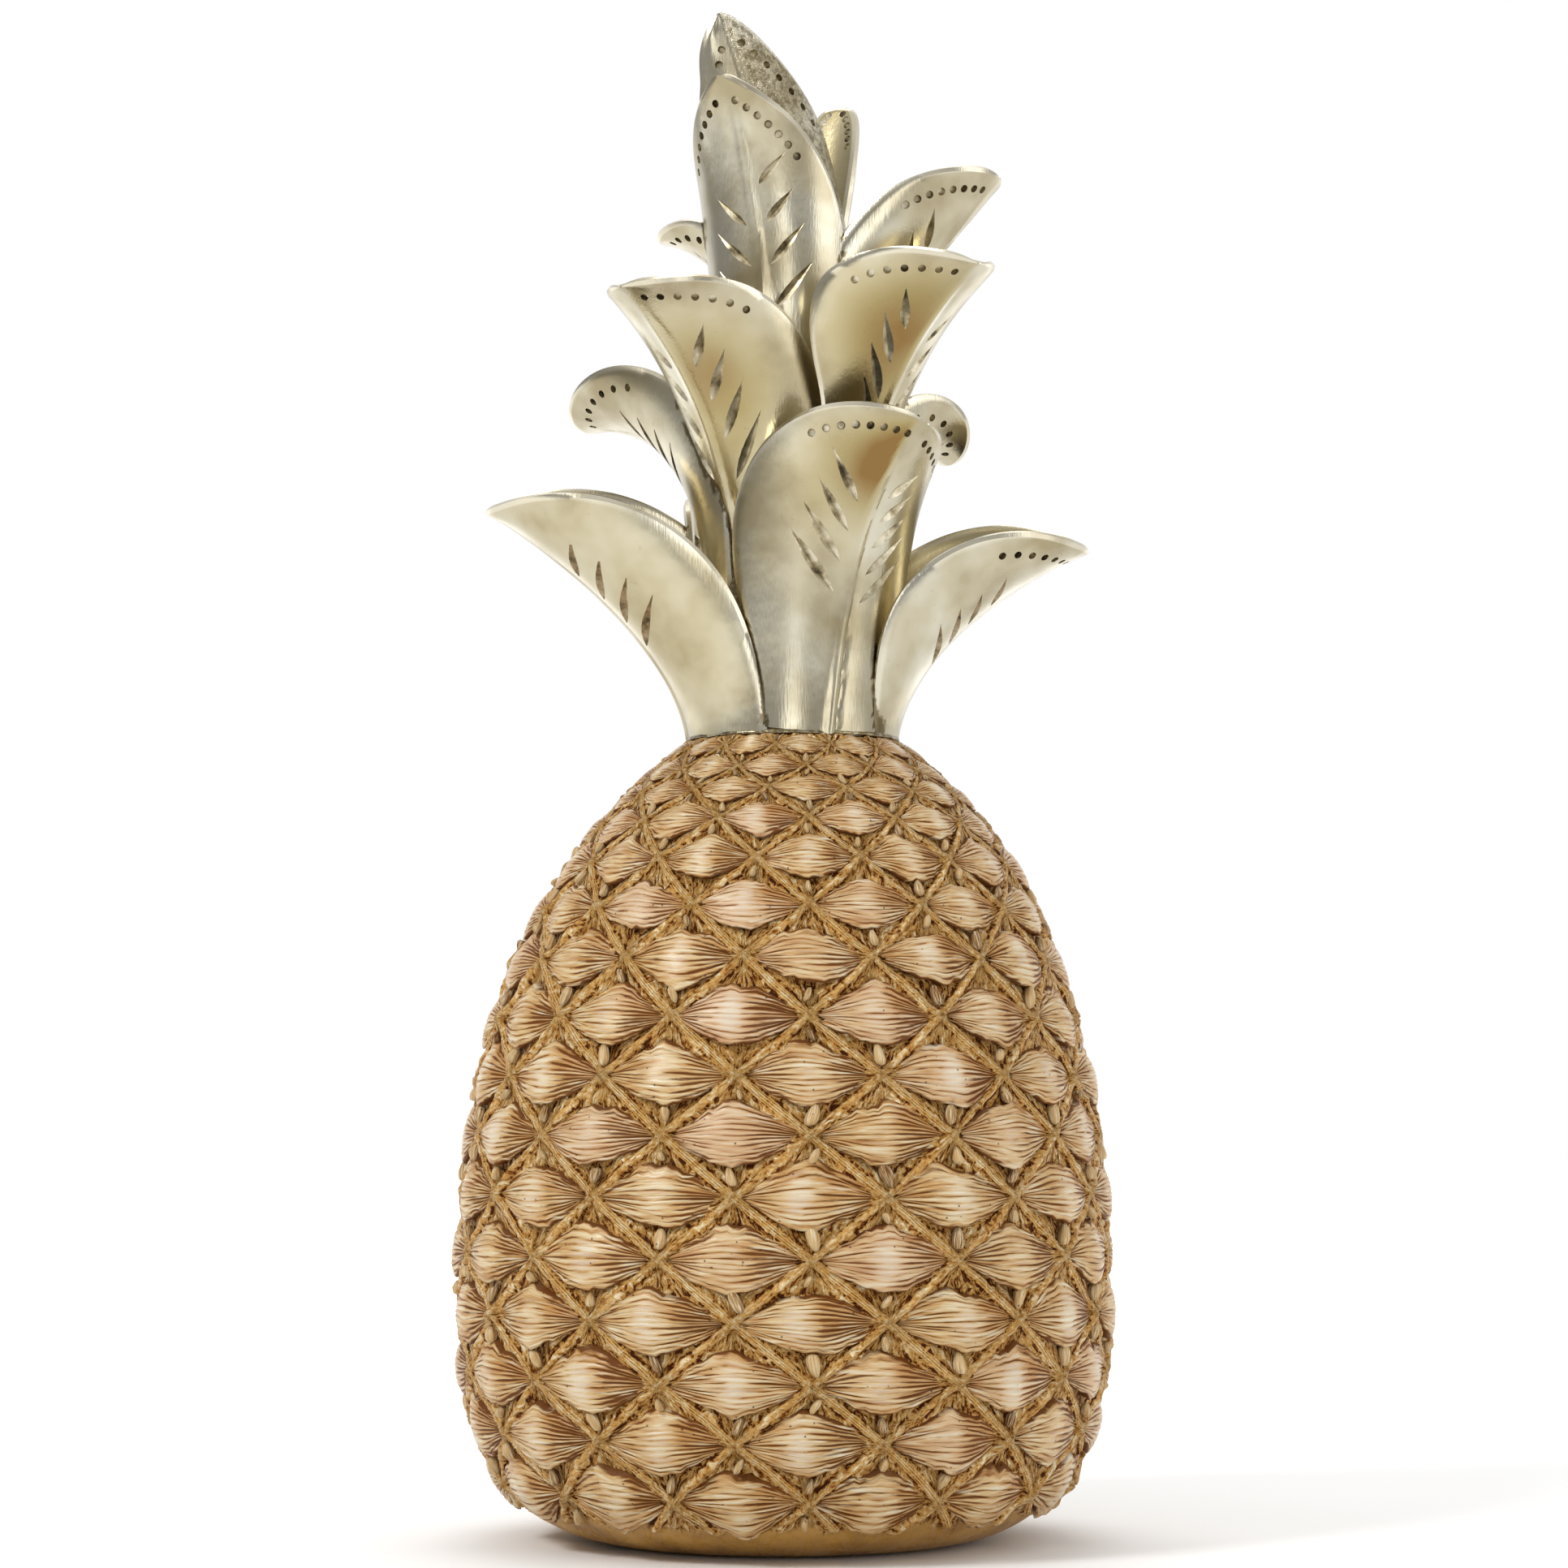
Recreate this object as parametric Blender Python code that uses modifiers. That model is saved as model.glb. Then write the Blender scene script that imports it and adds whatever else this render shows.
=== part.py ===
"""Pineapple sculpture: a cast fruit with a woven-looking skin, under a crown of curling leaves.

Run with: blender --background --python part.py
Metres, +Z up, the front faces -Y. The origin is the middle of the flat underside.
"""

import math

import bmesh
import bpy
from mathutils import Vector

MM = 0.001

# Main sizes of the sculpture
SEAM_HEIGHT = 221 * MM         # where the crown sits on the fruit
FIT_GAP = 0.3 * MM             # gap between the fruit and the crown
CROWN_OFFSET = 2.7 * MM        # the neck leans this far to the right of the underside
LEAN_START = 130 * MM          # below this height the fruit stands upright

# Fruit: ground line from the foot to the belly and from the belly to the neck, as (radius, height)
FOOT_CURVE = ((42, 0), (73, 0), (89, 20), (89, 68))
NECK_CURVE = ((89, 68), (89, 118), (79, 186), (29, 221))

# Fruit skin: rows of tufts set like a chequerboard, half of the places being cord crossings
ROW_HEIGHTS = (17.5, 33, 48, 64, 80, 96, 112, 127.5, 143, 158.5, 172.5, 185.5, 196.5, 205, 211.5)
PLACES_ROUND = 28              # tufts and crossings together, in one row
TUFT_AZIMUTH = 4.5             # degrees right of the front, first tuft of an odd row
COLUMNS = 2 * PLACES_ROUND
FULL_PITCH = 15.5 * MM          # rows closer than this, towards the neck, have lower relief
TUFT_RISE = 2.8 * MM
CORD_RISE = 1.3 * MM
TUFT_HALF_WIDTH = 0.97         # in places
TUFT_HALF_HEIGHT = 0.50        # in rows
TUFT_POINT = 0.6               # how pointed the ends of a tuft are
CORD_HALF_WIDTH = 0.30         # in places, across the cord
FOOT_RING_PLACES = (0, 0.2, 0.33)  # smooth rings along the foot curve
FIRST_RING = -1 / 3            # row number of the lowest ring with relief
LAST_RING = 14.5               # none stands higher than this
SLOPE_REACH = 1 * MM           # heights above and below a ring that give the skin's slope
STEPS_PER_ROW = 3
STEPS_PER_NARROW_ROW = 2
FIRST_NARROW_ROW = 12

# Crown: the stalk that carries the leaves, as (radius, height)
STALK = ((30.4, 214), (30.4, 223), (27.6, 226), (27.6, 252), (22.8, 268), (22.6, 289),
         (18, 305), (14, 325), (7, 345))
STALK_SIDES = 24
SEAM_CUT_SIZE = 200 * MM
LEAF_THICKNESS = 3.0 * MM
ROOT_DEPTH = 20 * MM           # how far an upper leaf runs down inside the stalk
LOW_ROOT_DEPTH = 6 * MM        # how far a low leaf runs down before the seam cuts it off
UPPER_LEAVES_FROM = 250        # height of the first upper foot, in millimetres
TIP_HALF_WIDTH = 2.0 * MM
LEAF_ROWS = 6
TIP_CROWDING = 1.35            # rows stand closer towards the tip
LEAF_COLUMNS = 6
SMALL_LEAF_COLUMNS = 4         # for leaves narrower than this half width, in millimetres
SMALL_LEAF = 33

STEP = 0.01                    # short way along a leaf, for its direction

# Each leaf is half a pipe that bends outwards. turn is the way it faces at its foot and tip, in
# degrees right of the front. keel holds its curve's four control points, as (radius, height).
# half is half its width measured round the pipe, foot the share of it at the foot, widest the
# place where it is full and pipe the pipe's radius at foot and tip. twist is the roll and sweep
# the drift to the right at the tip, taper and blunt shape the run from the widest place to the tip.
LEAVES = {
    "low_left": dict(turn=(-90, -90), keel=((29.5, 221), (30.5, 240), (55, 268), (86.5, 286)),
                     half=45, foot=0.84, widest=0.48, pipe=(29.5, 23), twist=-14, blunt=0.55),
    "low_front": dict(turn=(19, 46), keel=((29.5, 221), (29.5, 255), (36, 285), (51, 306)),
                      half=41, foot=0.46, widest=0.60, pipe=(29.5, 31), blunt=0.6),
    "low_right": dict(turn=(104, 96), keel=((29.5, 221), (30.5, 240), (52, 263), (84, 276)),
                      half=38, foot=0.70, widest=0.5, pipe=(29.5, 23), twist=10, blunt=0.5),
    "low_back": dict(turn=(187, 190), keel=((28.9, 221), (29.5, 250), (42, 280), (66, 292)),
                     half=40, foot=0.52, widest=0.55, pipe=(29.5, 27), blunt=0.6),
    "second_left": dict(turn=(-115, -125), keel=((24.3, 262), (27, 296), (43, 317), (73.5, 316)),
                        half=35, foot=0.8, widest=0.45, pipe=(24, 20), blunt=0.6),
    "second_right": dict(turn=(120, 120), keel=((23.8, 262), (24, 294), (37, 312), (52, 304)),
                         half=32, foot=0.8, widest=0.45, pipe=(24, 18), blunt=0.6),
    "third_left": dict(turn=(-50, -50), keel=((20.3, 262), (24, 303), (39, 328), (62, 343)),
                       half=38, foot=0.62, widest=0.5, pipe=(20.3, 27), blunt=0.65),
    "third_right": dict(turn=(50, 50), keel=((20.8, 265), (24, 310), (43.5, 334), (66, 349)),
                        half=38, foot=0.62, widest=0.5, pipe=(20.8, 27), blunt=0.55),
    "third_back": dict(turn=(178, 178), keel=((19.8, 265), (24, 308), (42, 330), (64, 340)),
                       half=36, foot=0.62, widest=0.5, pipe=(19.8, 27), blunt=0.6),
    "fourth_right": dict(turn=(80, 80), keel=((17, 310), (21, 338), (42, 360), (59, 380)),
                         half=30, foot=0.6, widest=0.5, pipe=(18, 20), twist=-10, blunt=0.6),
    "fourth_left": dict(turn=(-120, -115), keel=((12, 320), (14, 348), (23, 363), (42, 367)),
                        half=20, foot=0.7, widest=0.5, pipe=(16, 15), blunt=0.6),
    "top_front": dict(turn=(-30, -33), keel=((20, 300), (24, 340), (28, 380), (38, 404)),
                      half=29.5, foot=0.7, widest=0.5, pipe=(20, 22), blunt=0.9),
    "top_back_right": dict(turn=(120, 120), keel=((10, 330), (13, 360), (18, 388), (20, 403)),
                           half=20, foot=0.6, widest=0.5, pipe=(14, 14), blunt=0.45),
    "top": dict(turn=(5, 5), keel=((8, 310), (12, 350), (12, 392), (10, 427)), sweep=-22,
                half=26.5, foot=0.7, widest=0.64, pipe=(22, 20), taper=1.4, blunt=1.0),
}


def curve_point(controls, t):
    """Point of a cubic curve with four control points in millimetres, returned in metres."""
    weights = ((1 - t) ** 3, 3 * (1 - t) ** 2 * t, 3 * (1 - t) * t * t, t ** 3)
    across = sum(w * c[0] for w, c in zip(weights, controls))
    up = sum(w * c[1] for w, c in zip(weights, controls))
    return across * MM, up * MM


def ground_line(samples=60):
    """The fruit's ground line under its relief, from foot to neck, as (radius, height)."""
    foot = [curve_point(FOOT_CURVE, i / samples) for i in range(samples)]
    neck = [curve_point(NECK_CURVE, i / samples) for i in range(samples + 1)]
    return foot + neck


def ground_radius(line, height):
    """Radius of the ground line at a height."""
    for (r0, z0), (r1, z1) in zip(line, line[1:]):
        if z0 <= height <= z1:
            return r0 + (r1 - r0) * (height - z0) / (z1 - z0)
    return line[-1][0]


def row_height(row):
    """Height of a row number, with parts of a row between the tuft rows."""
    rows = [z * MM for z in ROW_HEIGHTS]
    low = min(max(int(math.floor(row)), 0), len(rows) - 2)
    return rows[low] + (rows[low + 1] - rows[low]) * (row - low)


def row_pitch(row):
    """Height between the tuft rows around a row number."""
    return row_height(row + 0.5) - row_height(row - 0.5)


def relief(place, row):
    """Height of the skin over the ground line: tufts, and cords that cross between them."""
    nearest_row = round(row)
    nearest_place = round(place)
    if (nearest_row + nearest_place) % 2:
        side = 1 if place >= nearest_place else -1
        nearest_place += side
    across = abs(place - nearest_place) / TUFT_HALF_WIDTH
    tuft = 0.0
    if across < 1:
        half_height = TUFT_HALF_HEIGHT * (1 - across * across) ** TUFT_POINT
        along = abs(row - nearest_row) / half_height
        if along < 1:
            tuft = math.sqrt(1 - along * along) * (1 - across ** 4)
    cord = 0.0
    for diagonal in (place + row, place - row):
        off = abs((diagonal % 2) - 1) / CORD_HALF_WIDTH
        cord = max(cord, 1 - off * off)
    return max(TUFT_RISE * tuft, CORD_RISE * cord)


def lean(height):
    """Sideways place of the fruit's axis at a height."""
    share = min(max((height - LEAN_START) / (SEAM_HEIGHT - LEAN_START), 0), 1)
    return CROWN_OFFSET * share * share * (3 - 2 * share)


def skin_rings(line):
    """Rings of the fruit from the flat foot to the neck, as (radius, height, row number)."""
    rings = [curve_point(FOOT_CURVE, t) + (None,) for t in FOOT_RING_PLACES]
    row = FIRST_RING
    while row < LAST_RING:
        height = row_height(row)
        rings.append((ground_radius(line, height), height, row))
        row += 1 / (STEPS_PER_ROW if row < FIRST_NARROW_ROW else STEPS_PER_NARROW_ROW)
    rings.append((line[-1][0], SEAM_HEIGHT, None))
    return rings


def outward(line, height):
    """Direction away from the ground line at a height, as (outward, upward)."""
    low, high = height - SLOPE_REACH, height + SLOPE_REACH
    fall = ground_radius(line, low) - ground_radius(line, high)
    length = math.hypot(2 * SLOPE_REACH, fall)
    return 2 * SLOPE_REACH / length, fall / length


def build_fruit(material):
    """The fruit: its profile turned about the axis, then raised by the relief of the skin."""
    line = ground_line()
    rings = skin_rings(line)
    bm = bmesh.new()
    start = [bm.verts.new((r, 0, z)) for r, z, _ in rings]
    edges = [bm.edges.new(pair) for pair in zip(start, start[1:])]
    bmesh.ops.spin(bm, geom=start + edges, cent=(0, 0, 0), axis=(0, 0, 1),
                   angle=2 * math.pi, steps=COLUMNS, use_merge=True)
    bmesh.ops.holes_fill(bm, edges=[e for e in bm.edges if e.is_boundary], sides=0)
    for vert in bm.verts:
        radius, height, row = min(rings, key=lambda ring: abs(ring[1] - vert.co.z))
        azimuth = math.atan2(vert.co.x, -vert.co.y)
        if row is not None:
            place = (math.degrees(azimuth) - TUFT_AZIMUTH) * PLACES_ROUND / 360 + 1
            rise = relief(place, row) * min(row_pitch(row) / FULL_PITCH, 1)
            out, up = outward(line, height)
            radius += out * rise
            height += up * rise
        vert.co = Vector((radius * math.sin(azimuth), -radius * math.cos(azimuth), height))
        vert.co.x += lean(height)
    bmesh.ops.recalc_face_normals(bm, faces=bm.faces)
    return object_from(bm, "fruit", material, PART)


def leaf_width(t, half, foot, widest, taper, blunt):
    """Half width of a leaf at the place t along it, in millimetres round its pipe."""
    if t < widest:
        share = t / widest
        return half * (foot + (1 - foot) * share * share * (3 - 2 * share))
    share = (t - widest) / (1 - widest)
    return half * (1 - share ** taper) ** blunt


def leaf_points(turn, keel, half, foot, widest, pipe, blunt, taper=2.0, twist=0, sweep=0):
    """Rows of points on the outer face of a leaf, from its foot to its tip."""
    def spine(t):
        azimuth = math.radians(turn[0] + (turn[1] - turn[0]) * t)
        radius, height = curve_point(keel, t)
        side = Vector((math.cos(azimuth), math.sin(azimuth), 0))
        out = Vector((math.sin(azimuth), -math.cos(azimuth), 0))
        point = out * radius + side * (sweep * MM * t * t) + Vector((CROWN_OFFSET, 0, height))
        return point, side

    columns = SMALL_LEAF_COLUMNS if half < SMALL_LEAF else LEAF_COLUMNS
    rows = []
    for i in range(LEAF_ROWS + 1):
        t = 1 - (1 - i / LEAF_ROWS) ** TIP_CROWDING
        point, side = spine(t)
        along = (spine(min(t + STEP, 1))[0] - spine(max(t - STEP, 0))[0]).normalized()
        side = (side - along * side.dot(along)).normalized()
        inward = along.cross(side)
        roll = math.radians(twist * t)
        across = side * math.cos(roll) + inward * math.sin(roll)
        depth = inward * math.cos(roll) - side * math.sin(roll)
        radius = (pipe[0] + (pipe[1] - pipe[0]) * t) * MM
        width = max(leaf_width(t, half, foot, widest, taper, blunt) * MM, TIP_HALF_WIDTH)
        row = []
        for k in range(columns + 1):
            angle = width / radius * (2 * k / columns - 1)
            row.append(point + across * (radius * math.sin(angle))
                       + depth * (radius * (1 - math.cos(angle))))
        rows.append(row)
    root = LOW_ROOT_DEPTH if keel[0][1] < UPPER_LEAVES_FROM else ROOT_DEPTH
    rows.insert(0, [point - Vector((0, 0, root)) for point in rows[0]])
    return rows


def build_leaf(name, shape):
    """One leaf as an open half pipe, given its thickness on the inner side."""
    rows = leaf_points(**shape)
    bm = bmesh.new()
    bmesh.ops.create_grid(bm, x_segments=len(rows[0]) - 1, y_segments=len(rows) - 1, size=1)
    for vert, point in zip(bm.verts, (point for row in rows for point in row)):
        vert.co = point
    leaf = object_from(bm, name, None, LEAF_SHAPES)
    leaf.hide_render = True
    leaf.display_type = "WIRE"
    shell = leaf.modifiers.new("thickness", "SOLIDIFY")
    shell.thickness = LEAF_THICKNESS
    shell.offset = -1
    shell.thickness_clamp = 1
    leaf.modifiers.new("flat faces", "TRIANGULATE")
    return leaf


def build_crown(material):
    """The crown: a turned stalk with the leaves joined to it."""
    bm = bmesh.new()
    start = [bm.verts.new((r * MM, 0, z * MM)) for r, z in STALK]
    edges = [bm.edges.new(pair) for pair in zip(start, start[1:])]
    bmesh.ops.spin(bm, geom=start + edges, cent=(0, 0, 0), axis=(0, 0, 1),
                   angle=2 * math.pi, steps=STALK_SIDES, use_merge=True)
    bmesh.ops.holes_fill(bm, edges=[e for e in bm.edges if e.is_boundary], sides=0)
    bmesh.ops.translate(bm, verts=bm.verts, vec=(CROWN_OFFSET, 0, 0))
    bmesh.ops.recalc_face_normals(bm, faces=bm.faces)
    crown = object_from(bm, "crown", material, PART)
    for name, shape in LEAVES.items():
        build_leaf(name, shape)
    crown.modifiers.new("flat faces", "TRIANGULATE")
    union = crown.modifiers.new("leaves", "BOOLEAN")
    union.operation = "UNION"
    union.solver = "EXACT"
    union.operand_type = "COLLECTION"
    union.collection = LEAF_SHAPES

    bpy.ops.mesh.primitive_cube_add(size=SEAM_CUT_SIZE)
    below = bpy.context.object
    below.name = "below_the_seam"
    below.location.z = SEAM_HEIGHT + FIT_GAP - SEAM_CUT_SIZE / 2
    for home in list(below.users_collection):
        home.objects.unlink(below)
    CUTTERS.objects.link(below)
    below.hide_render = True
    below.display_type = "WIRE"
    cut = crown.modifiers.new("seam", "BOOLEAN")
    cut.operation = "DIFFERENCE"
    cut.solver = "EXACT"
    cut.object = below
    return crown


def object_from(bm, name, material, collection):
    """A new object in a collection from a finished bmesh."""
    mesh = bpy.data.meshes.new(name)
    bm.to_mesh(mesh)
    bm.free()
    mesh.shade_smooth()
    mesh.set_sharp_from_angle(angle=math.radians(50))
    if material:
        mesh.materials.append(material)
    item = bpy.data.objects.new(name, mesh)
    collection.objects.link(item)
    return item


def make_material(name, colour, roughness, metallic):
    """A plain surface with a linear colour."""
    material = bpy.data.materials.new(name)
    material.use_nodes = True
    shader = material.node_tree.nodes["Principled BSDF"]
    shader.inputs["Base Color"].default_value = (*colour, 1)
    shader.inputs["Roughness"].default_value = roughness
    shader.inputs["Metallic"].default_value = metallic
    return material


for leftover in list(bpy.data.objects):
    bpy.data.objects.remove(leftover, do_unlink=True)

PART = bpy.data.collections.new("pineapple_sculpture")
LEAF_SHAPES = bpy.data.collections.new("leaf_shapes")
CUTTERS = bpy.data.collections.new("cutters")
for group in (PART, LEAF_SHAPES, CUTTERS):
    bpy.context.scene.collection.children.link(group)

build_fruit(make_material("painted_resin", (0.57, 0.37, 0.15), 0.45, 0.0))
build_crown(make_material("silver_leaf", (0.69, 0.64, 0.52), 0.25, 1.0))
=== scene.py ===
import math

import bmesh
import bpy
import numpy as np
from mathutils.bvhtree import BVHTree
from mathutils.kdtree import KDTree
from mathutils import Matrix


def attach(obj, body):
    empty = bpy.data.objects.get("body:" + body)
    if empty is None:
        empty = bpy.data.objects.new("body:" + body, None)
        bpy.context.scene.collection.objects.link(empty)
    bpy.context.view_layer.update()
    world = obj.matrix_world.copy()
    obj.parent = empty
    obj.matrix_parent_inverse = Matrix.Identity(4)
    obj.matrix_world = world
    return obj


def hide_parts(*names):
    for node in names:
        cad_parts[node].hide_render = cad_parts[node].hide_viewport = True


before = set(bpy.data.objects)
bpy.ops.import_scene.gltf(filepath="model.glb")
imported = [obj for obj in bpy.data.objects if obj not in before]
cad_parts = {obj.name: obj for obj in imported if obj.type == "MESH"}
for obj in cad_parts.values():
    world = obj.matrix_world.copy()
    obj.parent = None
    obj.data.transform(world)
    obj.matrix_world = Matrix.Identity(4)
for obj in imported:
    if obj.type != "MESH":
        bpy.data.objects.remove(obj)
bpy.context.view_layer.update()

# Skin of the fruit
# The ground of a hollow polyresin casting, pulled from a master that was wrapped in straw and bound
# with ropes and raffia that cross all over it. It runs down to a plain band and a flat underside.
MM = 0.001                     # m, and every size is in mm unless its comment says otherwise
SEAM_HEIGHT = 221
CROWN_OFFSET = 2.7             # the neck leans this far to the right at the seam
LEAN_START = 130
FOOT_CURVE = ((42, 0), (73, 0), (89, 20), (89, 68))
NECK_CURVE = ((89, 68), (89, 118), (79, 186), (29, 221))
ROW_HEIGHTS = (17.5, 33, 48, 64, 80, 96, 112, 127.5, 143, 158.5, 172.5, 185.5, 196.5, 205, 211.5)
ROWS = len(ROW_HEIGHTS)
PLACES_ROUND = 28              # tufts stand at every other place, turned by one from row to row
TUFT_AZIMUTH = 4.5             # degrees
PLACE_PITCH = 20.4             # between places round the belly
FULL_PITCH = 15.5              # between rows up the belly
SLOPE_REACH = 1.0              # above and below a height, where its slope is taken
SKIN_STEP = 0.9                # between the vertices of the skin
SKIN_BANDS = 3                 # the skin is cut into this many pieces, one above the other
UNDERSIDE_RINGS = 10
BACK_PLACE = 15                # the skin's map starts and ends at the back
ROPE_RISE = 1.3
ROPE_HALF_WIDTH = 0.085        # in places, across the rope
ROPE_UNEVENNESS = 0.5          # share of its rise that comes and goes along it
RAFFIA_RISE = 0.9
RAFFIA_HALF_WIDTH = 0.11       # in places
RAFFIA_UNEVENNESS = 0.6
SWELL_RISE = 0.7               # the ground that bulges under the ropes and the raffia
SWELL_HALF_WIDTH = 0.42        # in places
SWELL_UNEVENNESS = 0.6
KNOT_RISE = 0.7
KNOT_REACH = 2.6
POCKET_DEPTH = 0.7
POCKET_EDGE = (0.15, 0.6)      # in places from a rope, where a pocket starts and where it is deepest
CRUMB_RISE = 0.55              # loose straws between the tufts, and crumbs that rise less
CRUMB_SHARE = 0.6
NECK_FADE = (218.5, 220)       # heights between which the relief dies away under the crown
SEAM_LIP_RISE = 0.8            # the ridge that was pressed against the silver
SEAM_LIP_HEIGHTS = (219, 220.2)
SEAM_LIP_UNEVENNESS = 0.6
BAND_EDGE = (8.5, 11.0)        # heights between which the plain band at the foot ends
BAND_WAVE = 1.3
ROPE_STRAND = 2.9              # between the strands of a rope
WELD_REACH = 0.001

ROW_NUMBERS = np.concatenate(([-1], np.arange(ROWS), [ROWS, ROWS + 0.5]))
ROW_LINE = np.concatenate(([2.0], ROW_HEIGHTS, [218.0, SEAM_HEIGHT]))
LATTICE_SIZE = 64
LATTICE = np.random.default_rng(11).random((LATTICE_SIZE, LATTICE_SIZE))


def curve(controls, t):
    """Points of a cubic curve with four control points, at the places t along it."""
    t = np.asarray(t)[..., None]
    weights = np.concatenate(((1 - t) ** 3, 3 * (1 - t) ** 2 * t, 3 * (1 - t) * t * t, t ** 3), -1)
    return weights @ np.array(controls, float)


def ease(low, high, value):
    """Smooth step from 0 at low to 1 at high."""
    share = np.clip((value - low) / (high - low), 0, 1)
    return share * share * (3 - 2 * share)


def mottle(x, y):
    """Smooth random heights between -1 and 1, about one hill for each unit of x and y."""
    x0, y0 = np.floor(x).astype(int), np.floor(y).astype(int)
    u, v = ease(0, 1, x - x0), ease(0, 1, y - y0)
    corners = [LATTICE[(x0 + i) % LATTICE_SIZE, (y0 + j) % LATTICE_SIZE]
               for i, j in ((0, 0), (1, 0), (0, 1), (1, 1))]
    low = corners[0] * (1 - u) + corners[1] * u
    high = corners[2] * (1 - u) + corners[3] * u
    return 2 * (low * (1 - v) + high * v) - 1


def mottle_round(place, rounds, y):
    """The same, going round the fruit without a break: rounds is how often it uses the lattice up."""
    return mottle(place * LATTICE_SIZE * rounds / PLACES_ROUND, y)


ground_line = np.concatenate((curve(FOOT_CURVE, np.linspace(0, 1, 200)),
                              curve(NECK_CURVE, np.linspace(0, 1, 400))[1:]))


def ground_radius(height):
    """Radius of the ground line at a height."""
    return np.interp(height, ground_line[:, 1], ground_line[:, 0])


def turned(place, radius, height):
    """Points of the fruit at a place round it, with the lean of its neck."""
    azimuth = np.radians((place - 1) * 360 / PLACES_ROUND + TUFT_AZIMUTH)
    lean = CROWN_OFFSET * ease(LEAN_START, SEAM_HEIGHT, height)
    return np.stack((radius * np.sin(azimuth) + lean, -radius * np.cos(azimuth), height), -1)


def on_skin(place, row, rise):
    """Points at places round the fruit and rows up it, raised off the ground line."""
    height = np.interp(row, ROW_NUMBERS, ROW_LINE)
    fall = ground_radius(height - SLOPE_REACH) - ground_radius(height + SLOPE_REACH)
    length = np.hypot(2 * SLOPE_REACH, fall)
    radius = ground_radius(height) + rise * 2 * SLOPE_REACH / length
    return turned(place, radius, height + rise * fall / length)


def row_share(row):
    """Pitch of the rows around a row number, as a share of the full pitch."""
    pitch = np.interp(row + 0.5, ROW_NUMBERS, ROW_LINE) - np.interp(row - 0.5, ROW_NUMBERS, ROW_LINE)
    return np.minimum(pitch / FULL_PITCH, 1)


def ground_relief(place, row):
    """Height of the skin between the tufts: ropes, raffia, the knots where they cross, and crumbs."""
    raffia_off = np.abs((place + row) % 2 - 1)
    rope_off = np.abs((place - row) % 2 - 1)
    rope = ROPE_RISE * np.sqrt(np.clip(1 - (rope_off / ROPE_HALF_WIDTH) ** 2, 0, 1))
    raffia = RAFFIA_RISE * np.clip(1 - (raffia_off / RAFFIA_HALF_WIDTH) ** 2, 0, 1)
    # No cord was laid evenly, and some sink into the ground for a way
    uneven = mottle_round(place, 2, row * 1.6 + 5)
    rope *= 1 + ROPE_UNEVENNESS * uneven
    raffia *= 1 - RAFFIA_UNEVENNESS * uneven
    nearest = np.minimum(rope_off, raffia_off)
    swell = SWELL_RISE * ease(SWELL_HALF_WIDTH, 0, nearest)
    swell *= 1 + SWELL_UNEVENNESS * mottle_round(place, 1, row * 2 + 9)
    right = ((place + row) % 2 + (place - row) % 2 - 2) / 2 * PLACE_PITCH
    up = ((place + row) % 2 - (place - row) % 2) / 2 * FULL_PITCH
    knot = KNOT_RISE * np.exp(-(right ** 2 + up ** 2) / KNOT_REACH ** 2)
    pocket = POCKET_DEPTH * ease(*POCKET_EDGE, nearest)
    streaks = np.where(rope_off < raffia_off, mottle((place - row) * 6, (place + row) * 2),
                       mottle((place + row) * 6, (place - row) * 1.5))
    crumbs = mottle_round(place, 5, row * 9)
    loose = CRUMB_RISE * (streaks + CRUMB_SHARE * crumbs)
    return swell + np.maximum(rope, raffia) + knot - pocket + loose


def linear(hex_colour):
    """An sRGB hex colour as linear red, green, blue and full alpha."""
    parts = [int(hex_colour[i:i + 2], 16) / 255 for i in (1, 3, 5)]
    return [c / 12.92 if c <= 0.04045 else ((c + 0.055) / 1.055) ** 2.4 for c in parts] + [1]


def connect(made, inputs):
    """Gives each socket a value, an output to link, or a node whose first output in use is linked."""
    for key, value in inputs.items():
        if isinstance(value, bpy.types.Node):
            value = next(output for output in value.outputs if output.enabled)
        if isinstance(value, bpy.types.NodeSocket):
            made.id_data.links.new(value, made.inputs[key])
        else:
            made.inputs[key].default_value = value


def node(tree, kind, inputs=None, stops=(), **settings):
    """Adds a node with its settings and inputs. A ramp's stops are its ends and then those between."""
    made = tree.nodes.new("ShaderNode" + kind)
    for key, value in settings.items():
        setattr(made, key, value)
    connect(made, inputs or {})
    for i, (position, colour) in enumerate(stops):
        element = made.color_ramp.elements[i] if i < 2 else made.color_ramp.elements.new(position)
        element.position = position
        element.color = linear(colour)
    return made


def new_surface(name):
    """A new material, its node tree and its shader."""
    material = bpy.data.materials.new(name)
    material.use_nodes = True
    return material, material.node_tree, material.node_tree.nodes["Principled BSDF"]


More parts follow.
